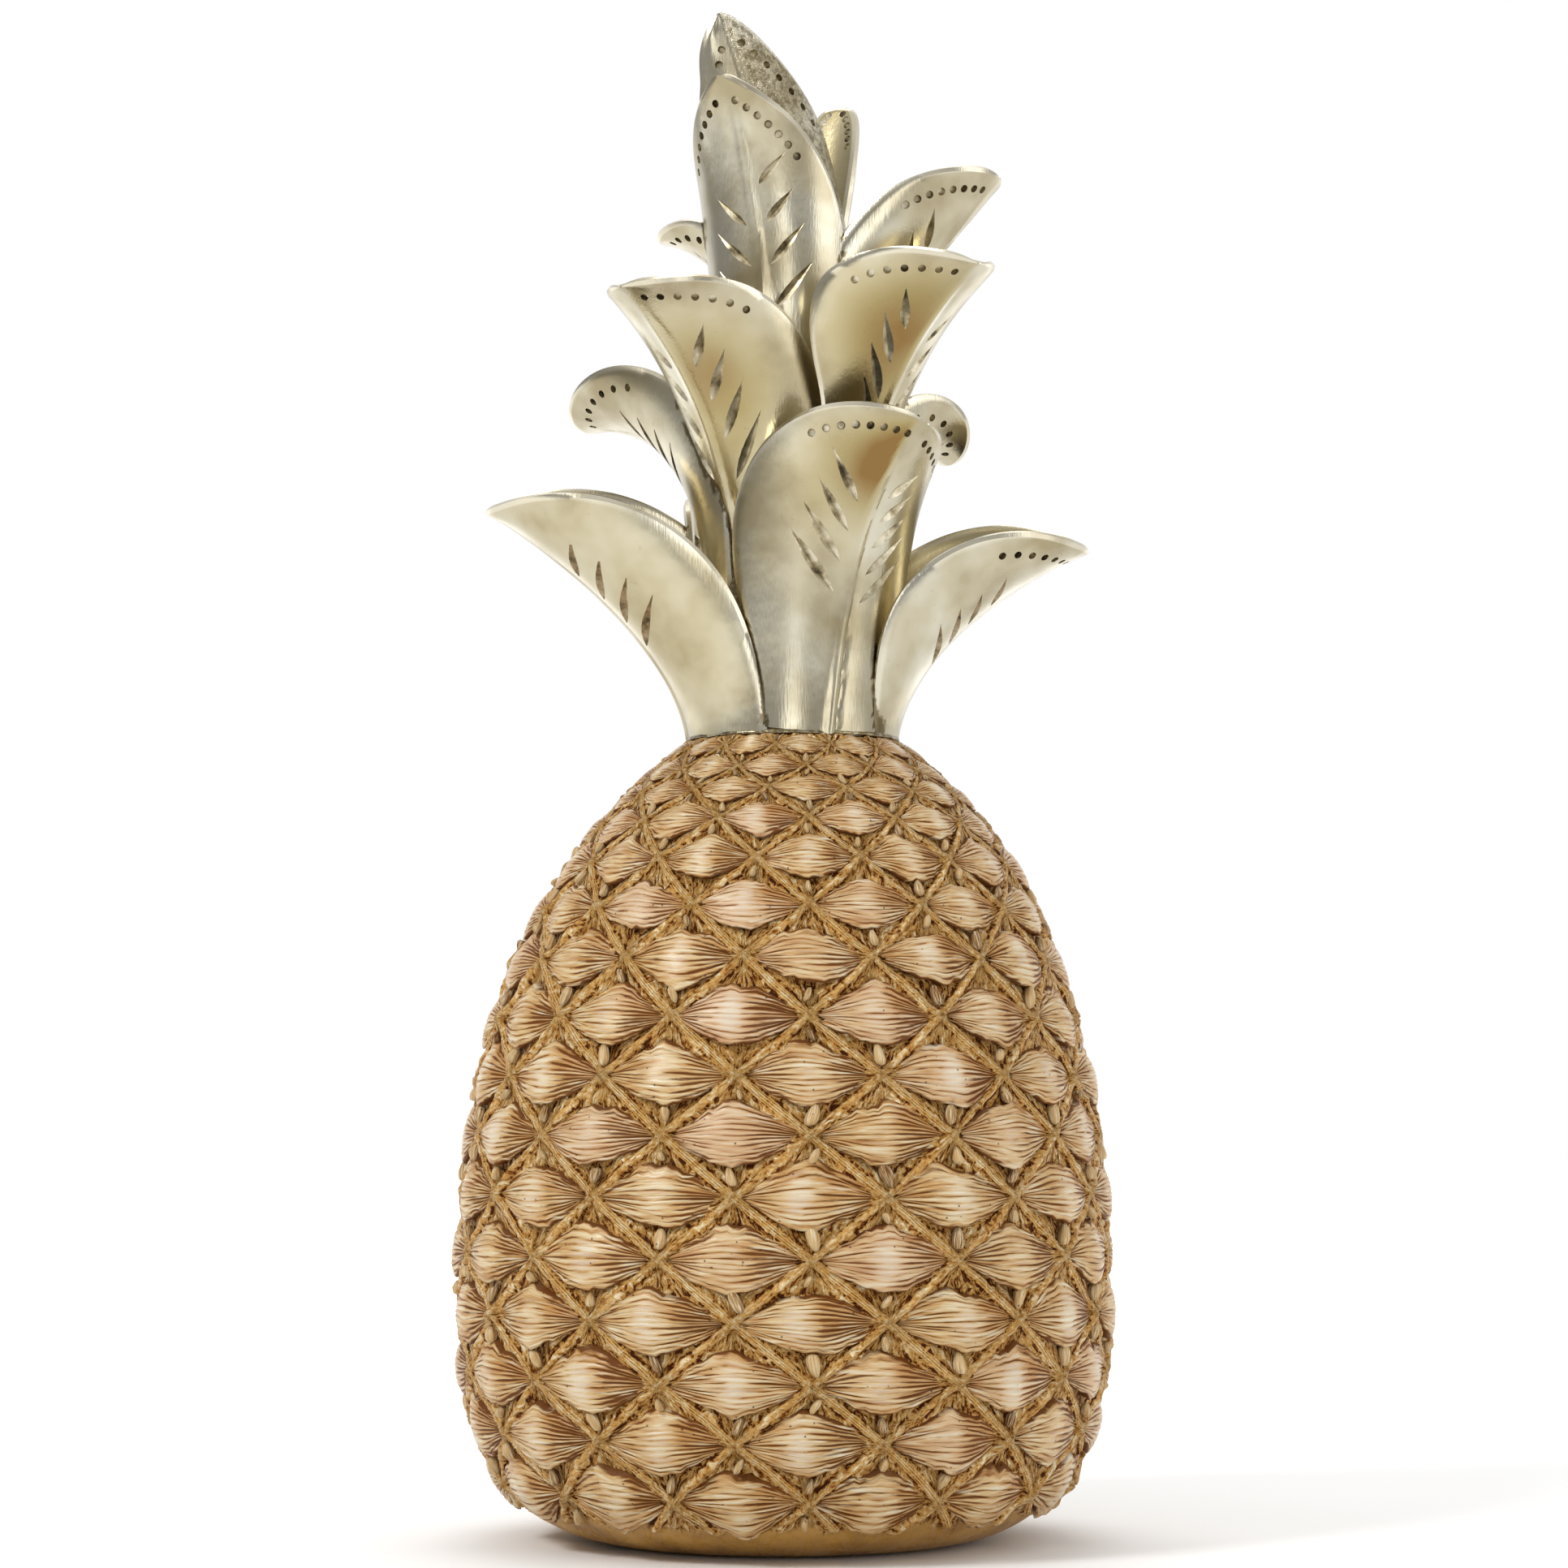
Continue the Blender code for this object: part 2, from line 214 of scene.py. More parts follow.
def add_piece(name, points, quads, material, stands_for, maps=None, marks=None, weld=False):
    """A smooth piece from points in mm and faces of four corners, riding on the part."""
    mesh = bpy.data.meshes.new(name)
    mesh.vertices.add(len(points))
    mesh.vertices.foreach_set("co", (points * MM).ravel())
    mesh.loops.add(quads.size)
    mesh.loops.foreach_set("vertex_index", quads.ravel())
    mesh.polygons.add(len(quads))
    mesh.polygons.foreach_set("loop_start", np.arange(0, quads.size, 4))
    mesh.update(calc_edges=True)
    for key, values in (maps or {}).items():
        layer = mesh.uv_layers.new(name=key)
        layer.uv.foreach_set("vector", values[quads.ravel()].ravel())
    for key, values in (marks or {}).items():
        mark = mesh.attributes.new(key, "FLOAT", "POINT")
        mark.data.foreach_set("value", values.ravel())
    if weld:
        bm = bmesh.new()
        bm.from_mesh(mesh)
        bmesh.ops.remove_doubles(bm, verts=bm.verts, dist=WELD_REACH * MM)
        bm.to_mesh(mesh)
        bm.free()
    mesh.shade_smooth()
    mesh.materials.append(material)
    piece = bpy.data.objects.new(name, mesh)
    bpy.context.scene.collection.objects.link(piece)
    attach(piece, "root")
    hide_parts(stands_for)
    return piece


def grid_quads(rows, columns):
    """Corners of the faces of a grid of points that runs row by row."""
    first = (np.arange(rows - 1)[:, None] * columns + np.arange(columns - 1)).ravel()
    return np.stack((first, first + 1, first + columns + 1, first + columns), -1)


# Polyresin with an ochre ground coat, brushed with a brown antique wash that stays in the hollows
# and rubbed with cream on the high straws, with painted shade added in the hollows and in a band
# beside every cord. It gives busy fibres, dark lines and small satin glints.
# Its map counts places round the fruit and rows up it. The straws fan out from the knots.
ground_resin, tree, shader = new_surface("antiqued_resin_straw_ground")
uv = node(tree, "UVMap", uv_map="skin")
xy = node(tree, "SeparateXYZ", {0: uv})
# Raffia climbs to the left where place + row is odd, ropes climb to the right where place - row is
cords = []
for crossing in ("ADD", "SUBTRACT"):
    line = node(tree, "Math", {0: xy.outputs["X"], 1: xy.outputs["Y"]}, operation=crossing)
    turn = node(tree, "Math", {0: line, 1: 2}, operation="FLOORED_MODULO")
    off = node(tree, "Math", {0: turn, 1: 1}, operation="SUBTRACT")
    near = node(tree, "Math", {0: off}, operation="ABSOLUTE")
    cords.append((line, off, near, node(tree, "Math", {0: line, 1: 2}, operation="SNAP")))
(raffia_line, raffia_off, raffia_near, raffia_cell), (_, rope_off, rope_near, rope_cell) = cords
right = node(tree, "Math", {0: raffia_off, 1: rope_off}, operation="ADD")
up = node(tree, "Math", {0: raffia_off, 1: rope_off}, operation="SUBTRACT")
from_knot = node(tree, "CombineXYZ", {0: right, 1: up, 2: 0})
in_mm = node(tree, "VectorMath", {0: from_knot, 1: (PLACE_PITCH / 2, FULL_PITCH / 2, 1)},
             operation="MULTIPLY")
reach = node(tree, "VectorMath", {0: in_mm}, operation="LENGTH")
heading = node(tree, "VectorMath", {0: in_mm}, operation="NORMALIZE")
STRAWS_ROUND_A_KNOT = 54
BENDS_ALONG_A_STRAW = 0.26     # to a mm
spread = node(tree, "VectorMath", {0: heading, "Scale": STRAWS_ROUND_A_KNOT / math.tau},
              operation="SCALE")
outward = node(tree, "Math", {0: reach, 1: BENDS_ALONG_A_STRAW}, operation="MULTIPLY")
lift = node(tree, "CombineXYZ", {0: 0, 1: 0, 2: outward})
position = node(tree, "TexCoord").outputs["Object"]
TANGLE = 3.4                   # between the bends of the loose straws
TANGLE_BEND = 2.8              # in straws
tangle = node(tree, "TexNoise", {"Vector": position, "Scale": 1 / (TANGLE * MM), "Detail": 1.0})
bent = node(tree, "VectorMath", {0: tangle.outputs["Color"], "Scale": TANGLE_BEND}, operation="SCALE")
straight = node(tree, "VectorMath", {0: spread, 1: lift}, operation="ADD")
straw_place = node(tree, "VectorMath", {0: straight, 1: bent}, operation="ADD")
CELL_STEP = 3.7                # apart in the noise, so that no two fans of straws are alike
cell = node(tree, "Math", {0: raffia_cell, 1: CELL_STEP, 2: rope_cell}, operation="MULTIPLY_ADD")
straws = node(tree, "TexNoise", {"Vector": straw_place, "W": cell, "Scale": 1.0, "Detail": 3.0,
                                 "Roughness": 0.65}, noise_dimensions="4D")
# Strands of a rope lie slantwise across it, drawn at their real pitch
KNOT_PITCH = 12.8              # of rope for each place of the raffia that it crosses
strand_along = node(tree, "Math", {0: raffia_line, 1: KNOT_PITCH / ROPE_STRAND}, operation="MULTIPLY")
strand_turn = node(tree, "Math", {0: rope_off, 1: -0.5 / ROPE_HALF_WIDTH, 2: strand_along},
                   operation="MULTIPLY_ADD")
strand_phase = node(tree, "Math", {0: strand_turn, 1: math.pi}, operation="MULTIPLY")
strand_wave = node(tree, "Math", {0: strand_phase}, operation="SINE")
strand_top = node(tree, "Math", {0: strand_wave}, operation="ABSOLUTE")
strand = node(tree, "MapRange", {0: strand_top, 1: 0, 2: 1, 3: 0.22, 4: 0.82})
on_rope = node(tree, "MapRange", {0: rope_near, 1: ROPE_HALF_WIDTH, 2: ROPE_HALF_WIDTH * 0.6, 3: 0,
                                  4: 0.36})
# Raffia lies in four flat strips side by side
strip_phase = node(tree, "Math", {0: raffia_off, 1: math.tau / RAFFIA_HALF_WIDTH}, operation="MULTIPLY")
strip_wave = node(tree, "Math", {0: strip_phase}, operation="SINE")
strip = node(tree, "Math", {0: strip_wave}, operation="ABSOLUTE")
on_raffia = node(tree, "MapRange", {0: raffia_near, 1: RAFFIA_HALF_WIDTH, 2: RAFFIA_HALF_WIDTH * 0.6,
                                    3: 0, 4: 0.45})
straw_height = node(tree, "MapRange", {0: straws, 1: 0.37, 2: 0.63, 3: 0, 4: 1})
with_raffia = node(tree, "Mix", {0: on_raffia, 2: straw_height, 3: strip})
frayed = node(tree, "MapRange", {0: tangle, 1: 0.40, 2: 0.62, 3: 1.0, 4: 0.15})
twisted = node(tree, "Math", {0: on_rope, 1: frayed}, operation="MULTIPLY")
with_ropes = node(tree, "Mix", {0: twisted, 2: with_raffia, 3: strand})
GRIT = 1.1                     # the crumbs that the master's glue left in the hollows
grit = node(tree, "TexNoise", {"Vector": position, "Scale": 1 / (GRIT * MM), "Detail": 3.0,
                               "Roughness": 0.65})
grit_height = node(tree, "MapRange", {0: grit, 1: 0.33, 2: 0.67, 3: 0, 4: 1})
grit_share = node(tree, "MapRange", {0: reach, 1: 1.5, 2: 6.0, 3: 0.55, 4: 0.20})
relief = node(tree, "Mix", {0: grit_share, 2: with_ropes, 3: grit_height})
plain = node(tree, "Attribute", attribute_name="plain").outputs["Fac"]
# The wash lies in the hollows and along both sides of every rope and strip of raffia, and painted shade
# deepens it: more in the hollows, and a dark band beside each cord that stands in for its shadow line
shade = node(tree, "Attribute", attribute_name="hollow").outputs["Fac"]
nearest = node(tree, "Math", {0: rope_near, 1: raffia_near}, operation="MINIMUM")
gap_start = node(tree, "MapRange", {0: nearest, 1: ROPE_HALF_WIDTH * 0.8, 2: ROPE_HALF_WIDTH * 1.15,
                                    3: 0, 4: 1})
gap_end = node(tree, "MapRange", {0: nearest, 1: ROPE_HALF_WIDTH * 1.5, 2: ROPE_HALF_WIDTH * 2.4,
                                  3: 0.24, 4: 0})
gap = node(tree, "Math", {0: gap_start, 1: gap_end}, operation="MULTIPLY")
beside = node(tree, "Math", {0: relief, 1: gap}, operation="SUBTRACT")
washed_and_shaded = node(tree, "Math", {0: shade, 1: -0.20, 2: beside}, operation="MULTIPLY_ADD")
paint = node(tree, "ValToRGB", {0: washed_and_shaded}, stops=((0.04, "#421E0A"), (0.84, "#E6D2A8"),
                                                   (0.16, "#7E4614"), (0.30, "#B6823C"),
                                                   (0.58, "#D0A156")))
BLOTCHES = 70.0                # to a metre, on the plain band
blotches = node(tree, "TexNoise", {"Vector": position, "Scale": BLOTCHES, "Detail": 3.0,
                                   "Roughness": 0.55})
band_paint = node(tree, "ValToRGB", {0: blotches}, stops=((0.30, "#8A6129"), (0.68, "#BC9149"),
                                                          (0.48, "#A97E3B")))
colour = node(tree, "Mix", {0: plain, 6: paint, 7: band_paint}, data_type="RGBA")
gloss = node(tree, "MapRange", {0: relief, 1: 0.1, 2: 0.9, 3: 0.52, 4: 0.34})
dry = node(tree, "MapRange", {0: washed_and_shaded, 1: 0.15, 2: 0.5, 3: 0.08, 4: 0.5})
BUMP_RISE = 0.9
rough_share = node(tree, "MapRange", {0: plain, 1: 0, 2: 1, 3: 1, 4: 0.06})
bump_height = node(tree, "Math", {0: relief, 1: rough_share}, operation="MULTIPLY")
bump = node(tree, "Bump", {"Strength": 1.0, "Distance": BUMP_RISE * MM, "Height": bump_height})
connect(shader, {"Base Color": colour, "Roughness": gloss, "Specular IOR Level": dry, "Normal": bump})

steps = np.hypot(*np.diff(ground_line, axis=0).T)
travel = np.concatenate(([0], np.cumsum(steps)))
ring_count = int(travel[-1] / SKIN_STEP) + 1
along_line = np.linspace(0, travel[-1], ring_count)
under = np.linspace(0.05, ground_line[0, 0], UNDERSIDE_RINGS + 1)[:-1]
ring_radius = np.concatenate((under, np.interp(along_line, travel, ground_line[:, 0])))
ring_height = np.concatenate((0 * under, np.interp(along_line, travel, ground_line[:, 1])))
slope = np.arctan2(np.gradient(ring_radius), np.gradient(ring_height))
ring_row = np.interp(ring_height, ROW_LINE, ROW_NUMBERS)
column_count = int(math.tau * ring_radius.max() / SKIN_STEP) + 1
places = BACK_PLACE + np.linspace(0, PLACES_ROUND, column_count)
place, row = np.meshgrid(places, ring_row)
edge_of_band = ring_height[:, None] + BAND_WAVE * mottle_round(place, 2, 0 * place)
plain_share = 1 - ease(*BAND_EDGE, edge_of_band)
neck_fade = (1 - ease(*NECK_FADE, ring_height)) * row_share(ring_row)
rise = ground_relief(place, row) * neck_fade[:, None] * (1 - plain_share)
seam_lip = SEAM_LIP_RISE * ease(*SEAM_LIP_HEIGHTS, ring_height) * (ring_height < SEAM_HEIGHT)
rise += seam_lip[:, None] * (1 + SEAM_LIP_UNEVENNESS * mottle_round(place, 2, 0 * place + 3))
skin = turned(place, ring_radius[:, None] + rise * np.cos(slope)[:, None],
              ring_height[:, None] - rise * np.sin(slope)[:, None])
# Darker where the ground lies low: the brown wash, and painted shade in the pockets under the tufts
hollow = np.clip(0.5 - rise / POCKET_DEPTH, 0, 1) * (1 - plain_share)
band_ends = np.linspace(0, len(ring_radius) - 1, SKIN_BANDS + 1).astype(int)
for band in range(SKIN_BANDS):
    rings = slice(band_ends[band], band_ends[band + 1] + 1)
    add_piece(f"skin_{band + 1}", skin[rings].reshape(-1, 3),
              grid_quads(skin[rings].shape[0], column_count), ground_resin, "fruit",
              {"skin": np.stack((place[rings], row[rings]), -1).reshape(-1, 2)},
              {"hollow": hollow[rings], "plain": plain_share[rings]}, weld=True)

# Tufts of the fruit
# Bundles of flat straws pinched under the ropes at both ends, and the short pegs that stand between
# them. They are part of the same polyresin casting, and their lower edges hang over the ground.
TUFT_RISE = 3.0                # over the ground line, at the crest of a tuft
TUFT_RISES = (0.9, 1.08)       # shares of it
TUFT_EDGE_RISE = 0.35
TUFT_HALF_WIDTH = 0.90         # in places
TUFT_HALF_HEIGHT = 0.43        # in rows
TUFT_SIZES = (0.93, 1.08)      # shares of it
TUFT_SHIFT = 0.03              # in places, to either side
TOP_PEAKS = (-0.35, 0.15)      # where the upper edge is highest, from -1 to 1 along the tuft
BOTTOM_PEAKS = (-0.15, 0.25)
CRESTS = (-0.2, 0.1)
END_HALF_HEIGHT = 0.10         # in rows, where a knot pinches the straws
SHORT_STRAWS = 0.16            # the share by which a straw may end early
RAGGED_EDGES = (0.065, 0.04)   # in rows, above and below
BURIED_DEPTH = 1.4             # where the turned edge of a tuft ends in the ground
TUFT_STEPS = 22                # faces along a straw
STRAW_STEPS = 3                # faces across a straw
STRAW_COUNTS = (10, 12)
GROOVE_DEPTH = 0.58
GROOVES_LEFT, GROOVES_RIGHT = 0.7, 1.15
STRAW_HALF_LENGTH = 16.5
MAP_STEPS = (41.3, 17.9)       # for each place and row, so that no two tufts have the same streaks
ROWS_OF_TUFTS = ROWS + 1
ROWS_IN_A_PIECE = 6
PEG_SIDES = 10
PEG_RINGS = 7
PEG_HALF_HEIGHT = 2.7
PEG_HALF_WIDTH = 1.6
PEG_RISE = 1.25
PEG_SIZES = (0.6, 1.15)
PEG_LEAN = 0.06                # in places, to either side
# The pegs above and below a knot: how many of the knots have one, how far it may stand to either side
# in places, its distance in rows and its size
PEG_KINDS = ((0.85, 0.05, 0.34, 1.0), (0.55, 0.07, -0.33, 0.75))

# The same polyresin, where straws lie side by side: cream and tan with brown left in the grooves, and
# here and there a faint mauve cast in the paint. The cream band on the crest of each tuft is partly
# rubbed paint and partly a painted highlight. It is satin, with thin glints along the straws.
tuft_resin, tree, shader = new_surface("antiqued_resin_straw_tufts")
uv = node(tree, "UVMap", uv_map="straw")
STREAK_LENGTH, STREAKS_TO_A_STRAW = 12.0, 1.4
stretched = node(tree, "VectorMath", {0: uv, 1: (1 / STREAK_LENGTH, STREAKS_TO_A_STRAW, 1)},
                 operation="MULTIPLY")
streaks = node(tree, "TexNoise", {"Vector": stretched, "Scale": 1.0, "Detail": 3.0, "Roughness": 0.6})
PATCH_LENGTH, PATCHES_TO_A_STRAW = 14, 0.35
wide = node(tree, "VectorMath", {0: uv, 1: (1 / PATCH_LENGTH, PATCHES_TO_A_STRAW, 1)},
            operation="MULTIPLY")
patches = node(tree, "TexNoise", {"Vector": wide, "Scale": 1.0, "Detail": 2.0})
tint = node(tree, "Attribute", attribute_name="tint").outputs["Fac"]
wash_and_highlight = node(tree, "Attribute", attribute_name="wash_and_highlight").outputs["Fac"]
cream = node(tree, "ValToRGB", {0: streaks}, stops=((0.30, "#A2723A"), (0.68, "#D8CEB4"),
                                                    (0.42, "#BE955A"), (0.53, "#CBAE7C")))
tan = node(tree, "ValToRGB", {0: streaks}, stops=((0.30, "#966630"), (0.70, "#D2BA8A"),
                                                  (0.48, "#BA8D50")))
by_patch = node(tree, "MapRange", {0: patches, 1: 0.40, 2: 0.62, 3: 0, 4: 1})
# A tint below zero marks the pegs, which were rubbed with cream
on_tuft = node(tree, "MapRange", {0: tint, 1: -0.3, 2: 0, 3: 0, 4: 1})
tan_share = node(tree, "Math", {0: by_patch, 1: on_tuft}, operation="MULTIPLY")
paint = node(tree, "Mix", {0: tan_share, 6: cream, 7: tan}, data_type="RGBA")
mauve_share = node(tree, "MapRange", {0: tint, 1: 0.65, 2: 1.0, 3: 0, 4: 0.30})
# The wash mark is below zero on the crest of a tuft, which was rubbed with cream and lightened further
# with a painted highlight
cream_and_highlight_share = node(tree, "MapRange", {0: wash_and_highlight, 1: -0.6, 2: 0, 3: 0.6, 4: 0})
torn = node(tree, "MapRange", {0: streaks, 1: 0.36, 2: 0.62, 3: 1.0, 4: 0.25})
wash_edge = node(tree, "Math", {0: wash_and_highlight, 1: torn}, operation="MULTIPLY")
wash_share = node(tree, "MapRange", {0: wash_edge, 1: 0.08, 2: 0.36, 3: 0, 4: 0.9})
ochre = node(tree, "Attribute", attribute_name="ochre").outputs["Fac"]
ochre_edge = node(tree, "Math", {0: streaks, 1: -1.6, 2: ochre}, operation="MULTIPLY_ADD")
ochre_share = node(tree, "MapRange", {0: ochre_edge, 1: -0.65, 2: 0.1, 3: 0, 4: 0.8})
dry = node(tree, "MapRange", {0: wash_share, 1: 0, 2: 0.8, 3: 0.5, 4: 0.06})
position = node(tree, "TexCoord").outputs["Object"]
PORE_PITCH = 3.6               # between the open pores that air bubbles left
pores = node(tree, "TexVoronoi", {"Vector": position, "Scale": 1 / (PORE_PITCH * MM),
                                  "Randomness": 1.0})
pore = node(tree, "MapRange", {0: pores.outputs["Distance"], 1: 0.05, 2: 0.09, 3: 0.8, 4: 0})
# One coat over the other: mauve, cream with the painted highlight on the crests, ochre, the brown wash,
# and what gathered in the pores
for share, coat in ((mauve_share, "#C69D86"), (cream_and_highlight_share, "#DFDACA"), (ochre_share, "#B07C3A"),
                    (wash_share, "#5C3012"), (pore, "#4A2D15")):
    paint = node(tree, "Mix", {0: share, 6: paint, 7: linear(coat)}, data_type="RGBA")
gloss = node(tree, "MapRange", {0: streaks, 1: 0.3, 2: 0.7, 3: 0.46, 4: 0.30})
pitted = node(tree, "Math", {0: streaks, 1: pore}, operation="SUBTRACT")
STREAK_RELIEF = 0.30
bump = node(tree, "Bump", {"Strength": 1.0, "Distance": STREAK_RELIEF * MM, "Height": pitted})
connect(shader, {"Base Color": paint, "Roughness": gloss, "Specular IOR Level": dry, "Normal": bump})


def tuft_outline(along, peak):
    """Share of a tuft's half height at the place along it, 1 at its peak."""
    share = np.where(along < peak, (peak - along) / (1 + peak), (along - peak) / (1 - peak))
    return 1 - np.clip(share, 0, 1) ** 1.5


def tuft_paint(along, over, straw, crest, ridge, depth, seed, rng):
    """The brown wash of a tuft, below zero where cream and a painted highlight lie on the crest, and
    its ochre.
    """
    wash_and_highlight = depth * (1 - ridge) ** 1.3 + 0.3 * ease(0.86, 1, np.abs(along)) * rng.random()
    wash_and_highlight += 0.8 * ease(0.80, 1.0, np.abs(over)) * np.abs(mottle(along * 8 + seed, over + seed))
    # More of it was left on the right of the crest than on the left
    held = np.where(along < crest, rng.uniform(0, 0.5), rng.uniform(0.3, 1.3))
    held *= ease(0.1, 0.75, np.abs(along - crest)) * (0.7 + 0.6 * mottle(straw * 0.6 + seed, along * 2))
    wash_and_highlight += held * (1 - ridge) ** 0.6
    # The upper right and the ends of a tuft kept the ochre of the ground and run into it
    ochre = rng.uniform(0.3, 1.1) * ease(0.0, 0.5, along - crest) * ease(-0.6, 0.6, over)
    ochre += 0.7 * ease(0.55, 1, np.abs(along))
    # On the crest: cream rubbed on, and a painted highlight where the straws bend over
    painted_highlight_band = 0.7 * (np.exp(-((along - crest) / 0.3) ** 2) * (1 - over ** 2) * rng.uniform(0.3, 1.0))
    return np.where(wash_and_highlight < painted_highlight_band, wash_and_highlight - painted_highlight_band, wash_and_highlight), ochre


def straw_tuft(place, row, rng):
    """One tuft: its points row by row, straw map, wash, tint and ochre."""
    straws = int(rng.integers(*STRAW_COUNTS, endpoint=True))
    seed = rng.uniform(0, LATTICE_SIZE)
    along, straw = np.meshgrid(np.linspace(-1, 1, TUFT_STEPS + 1),
                               np.arange(STRAW_STEPS * straws + 1) / STRAW_STEPS)
    over = 2 * straw / straws - 1
    half = TUFT_HALF_HEIGHT * rng.uniform(*TUFT_SIZES)
    top = tuft_outline(along, rng.uniform(*TOP_PEAKS))
    bottom = tuft_outline(along, rng.uniform(*BOTTOM_PEAKS))
    up = over * (END_HALF_HEIGHT + half * np.where(over > 0, top, bottom))
    # The paint runs level along the straws, which the pinched ends cut off
    level = straws / 2 * (1 + 0.4 * over + 0.6 * up / half)
    up += 0.025 * top * mottle(along * 1.8 + seed, straw * 0.7 + seed)
    ragged = mottle(along * 6 + seed, np.sign(over)) + 0.5 * mottle(along * 13 + seed, np.sign(over))
    up += np.where(over > 0, *RAGGED_EDGES) * ease(0.5, 1, np.abs(over)) * top * ragged
    straw_end = 1 - SHORT_STRAWS * np.abs(mottle(straw * 0.9 + seed, np.sign(along) + 5))
    shift = rng.uniform(-TUFT_SHIFT, TUFT_SHIFT)
    across = TUFT_HALF_WIDTH * along * straw_end + shift * (1 - along ** 2)
    crest = rng.uniform(*CRESTS)
    from_crest = np.abs(along - crest)
    dome = (1 - np.clip(from_crest / (1 + np.abs(crest)), 0, 1) ** 1.5) ** 0.9
    body = 1 - 0.72 * np.clip(over, 0, 1) ** 1.6 - 0.34 * np.clip(-over, 0, 1) ** 4
    rise = TUFT_EDGE_RISE + TUFT_RISE * rng.uniform(*TUFT_RISES) * dome * body
    rise += 0.22 * mottle(along * 1.6 + seed, over * 1.5 + seed)
    left, right = rng.random((2, straws + 1)) ** 1.3 * np.array([[GROOVES_LEFT], [GROOVES_RIGHT]])
    groove = np.round(straw).astype(int)
    cleft = np.where(along < crest, left[groove], right[groove])
    depth = 0.38 + 0.8 * cleft * ease(0.05, 0.7, from_crest)
    depth = np.clip(depth + 0.2 * mottle(along * 4 + seed, groove + 3), 0.05, 1.2)
    ridge = np.abs(np.sin(math.pi * straw)) ** 0.8
    rise += GROOVE_DEPTH * depth * (ridge - 1)
    wash_and_highlight, ochre = tuft_paint(along, over, straw, crest, ridge, depth, seed, rng)
    # The lower and the upper edge turn down into the ground
    up = np.concatenate((up[:1] + 0.07, up[:1] + 0.035, up, up[-1:] + 0.03, up[-1:] + 0.06))
    buried = 0 * rise[:1] - BURIED_DEPTH
    rise = np.concatenate((buried, 0.35 * rise[:1], rise, 0.3 * rise[-1:] - 0.3, buried))
    wash_and_highlight = np.pad(wash_and_highlight, ((2, 2), (0, 0)), constant_values=1.0)
    across, level, along, ochre = (np.pad(values, ((2, 2), (0, 0)), mode="edge")
                                   for values in (across, level, along, ochre))
    points = on_skin(place + across, row + up, rise * np.where(rise > 0, row_share(row), 1))
    shifted = along * STRAW_HALF_LENGTH + MAP_STEPS[0] * place + MAP_STEPS[1] * row
    straw_map = np.stack((shifted, level), -1)
    return points, straw_map, wash_and_highlight, np.full_like(wash_and_highlight, rng.random()), ochre


def peg(place, row, scale, rng):
    """A short upright stub of straw, half sunk in the ground."""
    turn, climb = np.meshgrid(np.linspace(0, math.tau, PEG_SIDES + 1),
                              np.linspace(-1, 1, PEG_RINGS) * math.pi / 2)
    uneven = 1 + 0.18 * mottle(3 * np.cos(turn) + row, 3 * np.sin(turn) + climb + place)
    uneven *= 1 + rng.uniform(-0.5, 0.5) * np.sin(climb)
    scale *= rng.uniform(*PEG_SIZES)
    across = PEG_HALF_WIDTH * scale * np.cos(climb) ** 0.7 * np.cos(turn) * uneven / PLACE_PITCH
    rise = PEG_RISE + PEG_HALF_WIDTH * 1.1 * np.cos(climb) ** 0.6 * np.sin(turn) * uneven
    up = PEG_HALF_HEIGHT * scale * np.sin(climb) / FULL_PITCH
    lean = rng.uniform(-PEG_LEAN, PEG_LEAN)
    points = on_skin(place + across + lean * np.sin(climb), row + up, rise * row_share(row))
    straw_map = np.stack((6 * climb + 23.7 * place + 9.1 * row, 3 * turn), -1)
    wash_and_highlight = 0.5 * rng.random() ** 2 + 0.3 * ease(0.3, -0.4, np.sin(turn))
    return points, straw_map, wash_and_highlight, 0 * turn - 0.4, 0 * turn


rng = np.random.default_rng(23)
for first_row in range(0, ROWS_OF_TUFTS, ROWS_IN_A_PIECE):
    parts = []
    for row in range(first_row, min(first_row + ROWS_IN_A_PIECE, ROWS_OF_TUFTS)):
        for place in range(1, PLACES_ROUND + 1):
            if (place + row) % 2 == 0:
                parts.append(straw_tuft(place, row, rng))
            else:
                for share, stray, distance, size in PEG_KINDS:
                    if rng.random() < share:
                        parts.append(peg(place + rng.uniform(-stray, stray), row + distance, size, rng))
    offsets = np.cumsum([0] + [p[0].shape[0] * p[0].shape[1] for p in parts])
    quads = [grid_quads(*p[0].shape[:2]) + offset for p, offset in zip(parts, offsets)]
    points, straw_map, wash_and_highlight_mark, tint_mark, ochre_mark = (
        np.concatenate([p[i].reshape(-1, *p[i].shape[2:]) for p in parts]) for i in range(5))
    add_piece(f"tufts_{first_row // ROWS_IN_A_PIECE + 1}", points, np.concatenate(quads), tuft_resin,
              "fruit", {"straw": straw_map},
              {"wash_and_highlight": wash_and_highlight_mark, "tint": tint_mark, "ochre": ochre_mark})

# Stalk of the crown
# The core that the leaves grow from, seen in the gaps between them, with the thin lip where the
# silver meets the fruit. It is one polyresin casting with the leaves, turned about the leaning neck.
FIT_GAP = 0.3                  # the glue line
# Radius and height of the turned outline, from the middle of the underside up
STALK = ((1, 221.3), (29.5, 221.3), (29.9, 221.7), (29.6, 222.3), (28.6, 223.2), (27.6, 226),
         (27.6, 252), (22.8, 268), (22.6, 289), (18, 305), (14, 325), (7, 345), (1, 347))
STALK_SIDES = 192
UNEVEN_LIP = 223               # the lip below this height was pressed down by hand
UNEVENNESS = 0.25

